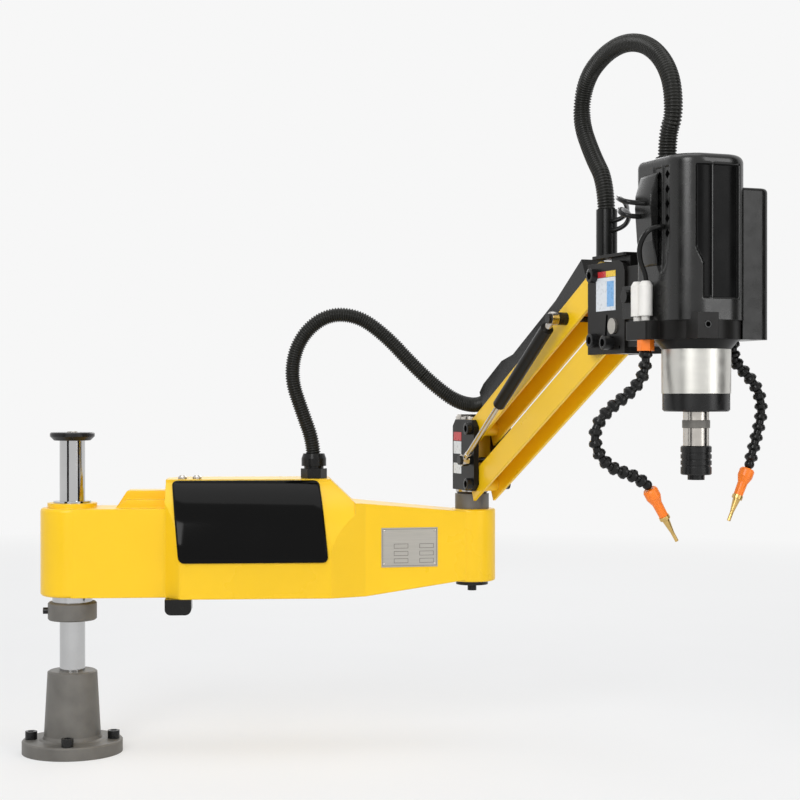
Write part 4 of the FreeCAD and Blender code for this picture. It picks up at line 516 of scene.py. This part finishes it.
# The sunk front: its left edge sweeps right below, and it has a lower rib
SUNK_FRONT_EDGE, SUNK_FRONT_LOW_EDGE, SUNK_FRONT_LOW, SUNK_FRONT_END = -29, -20, 46, 31
SWEEP_HIGH, SWEEP_LOW = 108, 84
RIB_PLACE, RIB_HALF, RIB_SHARE = -8, 1.1, 0.8
# Sunk front faces deeper than this share of SUNK_DEPTH get the darker recess finish, which is painted shade.
RECESS_SHADE = 0.6

VENT_COLUMNS, VENT_ROWS = (-4.6, 13.2), 5
VENT_DROP, VENT_PITCH = 23, 17
VENT_HALF_WIDTH, VENT_HALF_HEIGHT = 4.2, 5
VENT_FACE, VENT_THICK = 1.5, 1


def cover_outline():
    """Plan of the motor cover, anticlockwise from the back left, as points with their outward normals."""
    found = []
    for x, y, radius, start in (
            (COVER_BACK, -COVER_HALF, COVER_BACK_ROUND, 180),
            (COVER_FRONT, -COVER_HALF, COVER_FRONT_ROUND, 270),
            (COVER_FRONT, COVER_HALF, COVER_FRONT_ROUND, 0),
            (COVER_BACK, COVER_HALF, COVER_BACK_ROUND, 90)):
        centre = Vector((x - math.copysign(radius, x), y - math.copysign(radius, y)))
        steps = max(LEAST_CORNER_STEPS, round(radius * math.pi / 2 / PLAN_STEP))
        found += arc(centre, radius, start, steps)
    rows = []
    for (place, normal), (after, next_normal) in zip(found, found[1:] + found[:1]):
        rows.append((place, normal))
        gap = (after - place).length
        for index in range(1, int(gap / PLAN_STEP)):
            share = index * PLAN_STEP / gap
            rows.append((place.lerp(after, share), normal.lerp(next_normal, share).normalized()))
    return rows


def eased(distance, ease=EASE):
    """0 outside, 1 inside, with a soft step over the given width."""
    share = min(1, max(0, distance / ease))
    return share * share * (3 - 2 * share)


def cover_sink(place, height):
    """How far the cover's skin is sunk at a place of its outline and a height."""
    if place.y < 0 and place.x < COVER_FRONT - SIDE_END:
        share = min(1, max(0, (height - TONGUE_LOW) / (TONGUE_STRAIGHT - TONGUE_LOW)))
        half = (TONGUE_FRONT - TONGUE_BACK) / 2 * math.sqrt(share)
        middle = (TONGUE_FRONT + TONGUE_BACK) / 2
        inside = min(half - abs(place.x - middle), height - TONGUE_LOW, SUNK_TOP - height)
        rib = 1 - eased(abs(place.x - TONGUE_RIB) - RIB_HALF, RIB_EASE)
        return SUNK_DEPTH * SIDE_SHARE * eased(inside) * (1 - rib)
    if place.x < 0:
        return 0
    sweep = min(1, max(0, (SWEEP_HIGH - height) / (SWEEP_HIGH - SWEEP_LOW)))
    edge = SUNK_FRONT_EDGE + (SUNK_FRONT_LOW_EDGE - SUNK_FRONT_EDGE) * eased(sweep, 1)
    inside = min(place.y - edge, SUNK_FRONT_END - place.y, height - SUNK_FRONT_LOW, SUNK_TOP - height)
    rib = 1 - eased(abs(place.y - RIB_PLACE) - RIB_HALF, RIB_EASE)
    return SUNK_DEPTH * eased(inside) * (1 - RIB_SHARE * rib)


def build_motor_cover():
    """The cover's skin, with painted shade darkening its sunk front, and the two columns of vents in its side,
    drawn as dark diamonds of painted shade.
    """
    outline = cover_outline()
    row_count = int((COVER_TOP - COVER_TOP_ROUND - COVER_LOW) / ROW_STEP)
    rows = [(COVER_LOW + index * ROW_STEP, 0.0) for index in range(row_count)]
    for index in range(ROUND_STEPS + 1):
        angle = math.pi / 2 * index / ROUND_STEPS
        rows.append((COVER_TOP - COVER_TOP_ROUND * (1 - math.sin(angle)),
                     COVER_TOP_ROUND * (1 - math.cos(angle))))
    mesh = bmesh.new()
    rings = []
    for height, inset in rows:
        spots = [place - normal * (inset + cover_sink(place, height)) for place, normal in outline]
        rings.append([mesh.verts.new(Vector((spot.x, spot.y, height)) * MM) for spot in spots])
    bridge(mesh, rings)
    mesh.faces.new(rings[-1])
    mesh.faces.new(rings[0][::-1])
    skin = piece("motor_cover_skin", mesh, "cover_satin", "head", SPINDLE, 40, replaces=("motor_cover",))
    # The second finish is painted shade for the deeply sunk front faces.
    skin.data.materials.append(MATERIALS["cover_recess_painted_shade"])
    sides = len(outline)
    for face in skin.data.polygons[:(len(rows) - 1) * sides]:
        place = outline[face.index % sides][0]
        height = rows[face.index // sides][0]
        if place.x > 0 and cover_sink(place, height) > RECESS_SHADE * SUNK_DEPTH:
            face.material_index = 1

    # The vents are black diamonds standing in for holes: painted shade, not cut.
    vents = bmesh.new()
    for column in VENT_COLUMNS:
        for row in range(VENT_ROWS):
            middle = COVER_TOP - VENT_DROP - VENT_PITCH * row
            diamond = ((column - VENT_HALF_WIDTH, middle), (column, middle - VENT_HALF_HEIGHT),
                       (column + VENT_HALF_WIDTH, middle), (column, middle + VENT_HALF_HEIGHT))
            slab(vents, diamond, -COVER_HALF + VENT_FACE, -COVER_HALF + VENT_FACE + VENT_THICK)
    piece("motor_cover_vents", vents, "shadow_gap", "head", SPINDLE)


FIELD_FACE, FIELD_THICK, FIELD_STEP = -27.25, 0.3, 0.1


def build_stickers():
    """Bare colour fields where the machine carries its stickers. The blue one lies on the white one."""
    for name, body, at, fields in (
            ("head_field", "head", HEAD, (
                ("red", (6, -3.5, 30, 4)), ("yellow", (30.3, -3.5, 55, 4)), ("white", (4, -46, 55, -4)),
                ("blue", (33, -41, 51, -9)))),
            ("knuckle_field", "knuckle", KNUCKLE, (
                ("red", (-8, 468, 21, 481)), ("white", (-8, 448, 21, 467)), ("white", (-8, 418, 21, 434))))):
        for number, (colour, corners) in enumerate(fields):
            mesh = bmesh.new()
            front = FIELD_FACE - FIELD_STEP if colour == "blue" else FIELD_FACE
            slab(mesh, rectangle(*corners), front, FIELD_FACE + FIELD_THICK)
            piece(name + "_" + str(number), mesh, "field_" + colour, body, at)


PLATE_OUTER = 27
MARK_STAND, MARK_DEPTH = 0.12, 0.3
SLOT_START, SLOT_END, SLOT_RADIUS = (32.5, -53), (29.5, -77), 2.2
HOLE_PLACE, HOLE_RADIUS = (65.4, -92.7), 1.9
CAP_STEPS = 8


def build_plate_slot():
    """The slot beside the tilt disc and the small hole under it, on the head's near plate, drawn as dark shapes of
    painted shade.
    """
    mesh = bmesh.new()
    for start, end, radius in ((SLOT_START, SLOT_END, SLOT_RADIUS), (HOLE_PLACE, HOLE_PLACE, HOLE_RADIUS)):
        lean = math.degrees(math.atan2(end[1] - start[1], end[0] - start[0]))
        caps = (arc(Vector(start), radius, lean + 90, CAP_STEPS, 180)
                + arc(Vector(end), radius, lean - 90, CAP_STEPS, 180))
        slab(mesh, [point for point, _ in caps], -PLATE_OUTER - MARK_STAND, -PLATE_OUTER + MARK_DEPTH)
    piece("head_plate_slot", mesh, "shadow_gap", "head", HEAD)


PLATE_THICK = 1
LINE_WIDTH, LINE_RISE, BORDER = 0.8, 0.2, 1.6
FIELD_WIDTH, FIELD_HEIGHT, FIELD_PITCH = 22, 7, 11
FIELD_LEFT, FIELD_LOW, FIELD_MARGIN = 19, 6, 8
FIELD_COLUMNS, FIELD_ROWS = 2, 3
RIVET_INSET = 4.5
RIVET_PROFILE = ((1.7, 0), (1.5, 0.5), (0.8, 0.8), (0, 0.9))


def build_nameplate():
    """Border, blank field boxes and rivets on the bare metal plate."""
    low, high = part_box("nameplate")
    left = Vector((low.x, low.y, 0))
    along = (Vector((high.x, high.y - PLATE_THICK * MM, 0)) - left).normalized()
    lift = Matrix.Translation(Vector((low.x, low.y, low.z)))
    turn = Matrix((along, along.cross(Vector((0, 0, -1))), (0, 0, 1))).transposed().to_4x4()
    plate = lift @ turn
    width = (high - low).xy.length / MM
    height = (high.z - low.z) / MM
    lines = bmesh.new()

    def add_frame(x0, z0, x1, z1):
        for corners in ((x0, z0, x1, z0 + LINE_WIDTH), (x0, z1 - LINE_WIDTH, x1, z1),
                        (x0, z0, x0 + LINE_WIDTH, z1), (x1 - LINE_WIDTH, z0, x1, z1)):
            slab(lines, rectangle(*corners), -LINE_RISE, LINE_RISE)

    add_frame(BORDER, BORDER, width - BORDER, height - BORDER)
    for column in range(FIELD_COLUMNS):
        for row in range(FIELD_ROWS):
            side = FIELD_LEFT + column * (width - FIELD_MARGIN) / FIELD_COLUMNS
            foot = FIELD_LOW + row * FIELD_PITCH
            add_frame(side, foot, side + FIELD_WIDTH, foot + FIELD_HEIGHT)
    piece("nameplate_fields", lines, "engraved", "arm", plate)
    rivets = bmesh.new()
    for x in (RIVET_INSET, width - RIVET_INSET):
        for z in (RIVET_INSET, height - RIVET_INSET):
            upright = at_point(MODEL, x, 0, z) @ Matrix.Rotation(math.pi / 2, 4, "X")
            turned(rivets, RIVET_PROFILE, upright, 16)
    piece("nameplate_rivets", rivets, "bright_steel", "arm", plate)


# Control cover: a curved shell with rounded corners and a rolled rim

PANEL_FRONT, PANEL_LOW = -80, 289
PANEL_BACK, PANEL_HIGH = -20, 410
PANEL_BULGE, PANEL_THICK = 17, 5
PANEL_LEFT, PANEL_WIDTH, PANEL_SHEAR = 150, 221, 13
PANEL_CORNER, PANEL_RIM = 9, 3.2
CORNER_STEPS, SIDE_STEPS, RIM_STEPS, FACE_STEPS = 6, 14, 5, 10


def panel_arc():
    """Centre, radius, start angle and turn of the cover's profile in YZ."""
    low, high = Vector((PANEL_FRONT, PANEL_LOW)), Vector((PANEL_BACK, PANEL_HIGH))
    chord = high - low
    outward = Vector((-chord.y, chord.x)).normalized()
    radius = (chord.length_squared / 4 + PANEL_BULGE ** 2) / (2 * PANEL_BULGE)
    centre = (low + high) / 2 + outward * (PANEL_BULGE - radius)
    start = math.atan2(low.y - centre.y, low.x - centre.x)
    end = math.atan2(high.y - centre.y, high.x - centre.x)
    turn = (end - start + math.pi) % FULL_TURN - math.pi
    return centre, radius, start, turn


def build_control_cover():
    centre, radius, start, turn = panel_arc()
    length = abs(turn) * radius

    def on_cover(across, up, depth):
        """A point across and up the shell, sunk by a depth."""
        angle = start + turn * up / length
        reach = radius - depth
        return Vector((PANEL_LEFT + across + PANEL_SHEAR * (1 - up / length),
                       centre.x + reach * math.cos(angle), centre.y + reach * math.sin(angle))) * MM

    outline = []
    right, top = PANEL_WIDTH - PANEL_CORNER, length - PANEL_CORNER
    for x, y, begin in ((PANEL_CORNER, PANEL_CORNER, 180), (right, PANEL_CORNER, 270), (right, top, 0),
                        (PANEL_CORNER, top, 90)):
        outline += arc(Vector((x, y)), PANEL_CORNER, begin, CORNER_STEPS)
    rows = []
    for (place, normal), (after, _) in zip(outline, outline[1:] + outline[:1]):
        rows.append((place, normal))
        if (after - place).length > PANEL_CORNER * 2:
            rows += [(place.lerp(after, step / SIDE_STEPS), normal) for step in range(1, SIDE_STEPS)]

    mesh = bmesh.new()
    rings = [[mesh.verts.new(on_cover(*place, PANEL_THICK)) for place, normal in rows]]
    for step in range(RIM_STEPS + 1):
        angle = math.pi / 2 * step / RIM_STEPS
        inset, depth = PANEL_RIM * (1 - math.cos(angle)), PANEL_RIM * (1 - math.sin(angle))
        rings.append([mesh.verts.new(on_cover(*(place - normal * inset), depth)) for place, normal in rows])
    middle = Vector((PANEL_WIDTH / 2, length / 2))
    for step in range(1, FACE_STEPS):
        spots = [(place - normal * PANEL_RIM).lerp(middle, step / FACE_STEPS) for place, normal in rows]
        rings.append([mesh.verts.new(on_cover(*spot, 0)) for spot in spots])
    bridge(mesh, rings)
    close_at(mesh, rings[-1], mesh.verts.new(on_cover(*middle, 0)))
    mesh.faces.new(rings[0][::-1])
    piece("control_cover_shell", mesh, "black_gloss", "arm", crease=40, replaces=("control_cover",))


SOCKET_SHARE, CHAMFER_SHARE, RIM_HEIGHT = 0.58, 0.86, 0.5
SOCKET_STAND, SOCKET_DEPTH = 0.12, 0.1


def socket_face(mesh, gaps, place, radius):
    """The front of a socket screw: a chamfered rim and a dark hexagon of painted shade for the socket's hollow. It
    looks along the place's -Y.
    """
    inner, chamfer = radius * SOCKET_SHARE, radius * CHAMFER_SHARE
    profile = ((inner, 0), (inner, RIM_HEIGHT), (chamfer, RIM_HEIGHT), (radius, 0), (inner, 0))
    turned(mesh, profile, place @ Matrix.Rotation(math.pi / 2, 4, "X"), 32)
    slab(gaps, ring_of(inner, 6), -SOCKET_STAND, SOCKET_DEPTH, place)


PIN_HEAD, PIN_HEAD_RADIUS, PIN_RISE = 8, 9, 82.72
KNUCKLE_PIN_X = 56
TILT_BOLT, TILT_BOLT_STAND = (43, -86.7), 12
CLAMP_OUT, CLAMP_SIDE, CLAMP_RISE, CLAMP_SCREW_RADIUS = 62, -22, 16, 5


def build_socket_faces():
    lower = joint_place("lift").z / MM
    pin_face = -PLATE_OUTER - PIN_HEAD
    knuckle_spots = ((KNUCKLE_PIN_X, pin_face, lower), (KNUCKLE_PIN_X, pin_face, lower + PIN_RISE))
    head_spots = ((0, pin_face, 0), (0, pin_face, -PIN_RISE),
                  (TILT_BOLT[0], -PLATE_OUTER - TILT_BOLT_STAND, TILT_BOLT[1]))
    for body, at, spots in (("knuckle", KNUCKLE, knuckle_spots), ("head", HEAD, head_spots)):
        # Rims are black steel; gaps hold the dark hexagons, painted shade for the sockets.
        rims, gaps = bmesh.new(), bmesh.new()
        for spot in spots:
            socket_face(rims, gaps, at_point(at, *spot), PIN_HEAD_RADIUS)
        piece(body + "_screw_rims", rims, "black_steel", body)
        piece(body + "_screw_sockets", gaps, "shadow_gap", body)
    rims, gaps = bmesh.new(), bmesh.new()
    forward = at_point(SPINDLE, CLAMP_OUT, CLAMP_SIDE, CLAMP_RISE) @ Matrix.Rotation(math.pi / 2, 4, "Z")
    socket_face(rims, gaps, forward, CLAMP_SCREW_RADIUS)
    piece("clamp_screw_rim", rims, "black_steel", "head")
    piece("clamp_screw_socket", gaps, "shadow_gap", "head")


HOUSING_LOW, HOUSING_HIGH, HOUSING_DEPTH = 86, 196, 11
HOUSING_START, HOUSING_END, HOUSING_EDGE = 4, 40, 1.5


def build_cable_housing():
    """The slanted housing on the cover's left side."""
    side = -COVER_HALF
    crest = side - HOUSING_DEPTH
    outline = ((side, HOUSING_LOW), (side, HOUSING_HIGH), (side - 4, HOUSING_HIGH - 4),
               (crest, HOUSING_HIGH - 26), (crest, HOUSING_HIGH - 40),
               (side - 8, HOUSING_LOW + 30), (side - 2, HOUSING_LOW + 2))
    mesh = bmesh.new()
    turn = SPINDLE @ Matrix.Rotation(math.pi / 2, 4, "Z")
    slab(mesh, outline, HOUSING_START, HOUSING_END, turn, HOUSING_EDGE)
    piece("cable_housing_slanted", mesh, "cover_satin", "head", crease=40, replaces=("cable_housing",))


CONE_HEIGHT, GEAR_HEIGHT, BEARING_HEIGHT, SHANK_LENGTH = 11, 52, 21, 40
SHANK_RING_DROP, SHANK_RING_HEIGHT = 10, 9
SPLINE_COUNT, SPLINE_CREST, SPLINE_ROOT = 16, 15.4, 14.2


def build_splines():
    """Splines of the spindle shank, above and below its ring."""
    top = -(CONE_HEIGHT + GEAR_HEIGHT + BEARING_HEIGHT)
    bottom = top - SHANK_LENGTH
    ring_top = top - SHANK_RING_DROP
    outline = []
    tooth = ((0.0, SPLINE_ROOT), (0.12, SPLINE_CREST), (0.5, SPLINE_CREST), (0.62, SPLINE_ROOT))
    for number in range(SPLINE_COUNT):
        for share, radius in tooth:
            angle = (number + share) * FULL_TURN / SPLINE_COUNT
            outline.append((radius * math.cos(angle), radius * math.sin(angle)))
    mesh = bmesh.new()
    upright = SPINDLE @ Matrix.Rotation(math.pi / 2, 4, "X")
    for low, high in ((bottom, ring_top - SHANK_RING_HEIGHT), (ring_top, top)):
        slab(mesh, outline, -high, -low, upright)
    piece("shank_splines", mesh, "bright_steel", "spindle")


# Nodes whose finish differs from the rest of their material slot
for node, material in (("knuckle_cap", "bright_steel"), ("elbow_retainer", "black_steel"),
                       ("spring_head_stud", "black_steel"), ("spring_foot_stud", "black_steel")):
    for material_slot in frame["nodes"][node].material_slots:
        material_slot.material = MATERIALS[material]

build_control_cover()
build_motor_cover()
build_socket_faces()
build_cable_housing()
build_splines()
build_stickers()
build_plate_slot()
build_nameplate()


# Stage: plain pale floor, soft lamps, pale surroundings for what the camera, gloss and glass see

def seen_rays(tree):
    """1 for what the camera sees directly, in gloss or through glass."""
    path = tree.nodes.new("ShaderNodeLightPath")
    either = path.outputs["Is Camera Ray"]
    for name in ("Is Glossy Ray", "Is Transmission Ray"):
        largest = tree.nodes.new("ShaderNodeMath")
        largest.operation = "MAXIMUM"
        tree.links.new(either, largest.inputs[0])
        tree.links.new(path.outputs[name], largest.inputs[1])
        either = largest.outputs["Value"]
    return either


PALE = (0.93, 0.93, 0.93)
FLOOR_REACH = 14
SHADOW_START, SHADOW_REACH = 1.0, 4.2
MOTTLE_SCALE = 3.0
GLOW_STRENGTH = 0.5
WORLD_LIGHT, WORLD_STRENGTH = (0.95, 0.97, 1.0), 0.5


def mixed(nodes, factor, first, second):
    blend = nodes.add("ShaderNodeMixShader")
    nodes.join(factor, blend.inputs["Fac"])
    nodes.join(first, blend.inputs[1])
    nodes.join(second, blend.inputs[2])
    return blend.outputs["Shader"]


def floor_material():
    """A pale floor that keeps the shadow near the object and runs into the background further out."""
    nodes = Nodes("floor_pale")
    bounce = nodes.add("ShaderNodeBsdfDiffuse")
    tone = nodes.mix(nodes.noise(MOTTLE_SCALE), (0.8, 0.8, 0.8), (0.84, 0.84, 0.84))
    nodes.join(tone, bounce.inputs["Color"])
    shadow = nodes.add("ShaderNodeBsdfDiffuse")
    shadow_tone = nodes.mix(nodes.noise(MOTTLE_SCALE), (0.44, 0.44, 0.44), (0.46, 0.46, 0.46))
    nodes.join(shadow_tone, shadow.inputs["Color"])
    glow = nodes.add("ShaderNodeEmission")
    glow.inputs["Color"].default_value = (*PALE, 1)
    glow.inputs["Strength"].default_value = GLOW_STRENGTH
    near = nodes.add("ShaderNodeAddShader")
    nodes.join(shadow.outputs["BSDF"], near.inputs[0])
    nodes.join(glow.outputs["Emission"], near.inputs[1])
    far = nodes.add("ShaderNodeEmission")
    far.inputs["Color"].default_value = (*PALE, 1)
    reach = nodes.add("ShaderNodeVectorMath", operation="LENGTH")
    nodes.join(nodes.coords, reach.inputs[0])
    share = nodes.spread(reach.outputs["Value"], 0.0, 1.0, SHADOW_START, SHADOW_REACH)
    shown = mixed(nodes, share, near.outputs["Shader"], far.outputs["Emission"])
    output = nodes.add("ShaderNodeOutputMaterial")
    nodes.join(mixed(nodes, seen_rays(nodes.tree), bounce.outputs["BSDF"], shown), output.inputs["Surface"])
    return nodes.material


def build_world():
    world = bpy.data.worlds.new("world")
    bpy.context.scene.world = world
    world.use_nodes = True
    tree = world.node_tree
    tree.nodes.clear()
    seen = tree.nodes.new("ShaderNodeBackground")
    seen.inputs["Color"].default_value = (*PALE, 1)
    lit = tree.nodes.new("ShaderNodeBackground")
    lit.inputs["Color"].default_value = (*WORLD_LIGHT, 1)
    lit.inputs["Strength"].default_value = WORLD_STRENGTH
    blend = tree.nodes.new("ShaderNodeMixShader")
    tree.links.new(seen_rays(tree), blend.inputs["Fac"])
    tree.links.new(lit.outputs["Background"], blend.inputs[1])
    tree.links.new(seen.outputs["Background"], blend.inputs[2])
    output = tree.nodes.new("ShaderNodeOutputWorld")
    tree.links.new(blend.outputs["Shader"], output.inputs["Surface"])


def stage_sheet(name, corners, material):
    """A flat four-cornered sheet of the studio."""
    data = bpy.data.meshes.new(name)
    data.from_pydata(corners, [], [(0, 1, 2, 3)])
    data.materials.append(material)
    sheet = bpy.data.objects.new(name, data)
    bpy.context.scene.collection.objects.link(sheet)
    return sheet


LAMP_TARGET = Vector((0.4, -0.2, 0.45))
# Name, place, width, height and watts of each lamp
LAMPS = (("key", (-0.75, -2.9, 1.9), 1.1, 1.7, 46), ("fill", (2.4, -2.2, 1.4), 0.9, 1.9, 20),
         ("top", (0.3, -0.4, 2.9), 2.4, 1.4, 18), ("back", (0.6, 2.6, 1.8), 2.0, 1.4, 16))
# Name, place and half width of each dark upright flag; they face the column, and their dark sheets make painted
# reflection in it.
FLAGS = (("flag_left", -1.15, -1.75, 0.34), ("flag_right", 1.95, -0.85, 0.36))
FLAG_LOW, FLAG_HIGH = 0.05, 2


def build_stage():
    floor_corners = [(x * FLOOR_REACH, y * FLOOR_REACH, 0) for x, y in ((-1, -1), (1, -1), (1, 1), (-1, 1))]
    floor = stage_sheet("floor", floor_corners, floor_material())
    build_world()

    # The flags are seen in gloss only, and give the ground column its dark bands: painted reflection.
    for name, x, y, half in FLAGS:
        across = Vector((-y, x, 0)).normalized() * half
        corners = [Vector((x, y, height)) + side * across
                   for side, height in ((-1, FLAG_LOW), (1, FLAG_LOW), (1, FLAG_HIGH), (-1, FLAG_HIGH))]
        flag = stage_sheet(name, corners, MATERIALS["shadow_gap"])
        flag.visible_camera = flag.visible_diffuse = flag.visible_shadow = False

    for name, place, width, height, power in LAMPS:
        lamp_data = bpy.data.lights.new(name, "AREA")
        lamp_data.shape = "RECTANGLE"
        lamp_data.size, lamp_data.size_y, lamp_data.energy = width, height, power
        lamp = bpy.data.objects.new(name, lamp_data)
        lamp.location = place
        lamp.rotation_mode = "QUATERNION"
        lamp.rotation_quaternion = (LAMP_TARGET - Vector(place)).to_track_quat("-Z", "Y")
        bpy.context.scene.collection.objects.link(lamp)
    bpy.context.scene.view_settings.view_transform = "Standard"


build_stage()
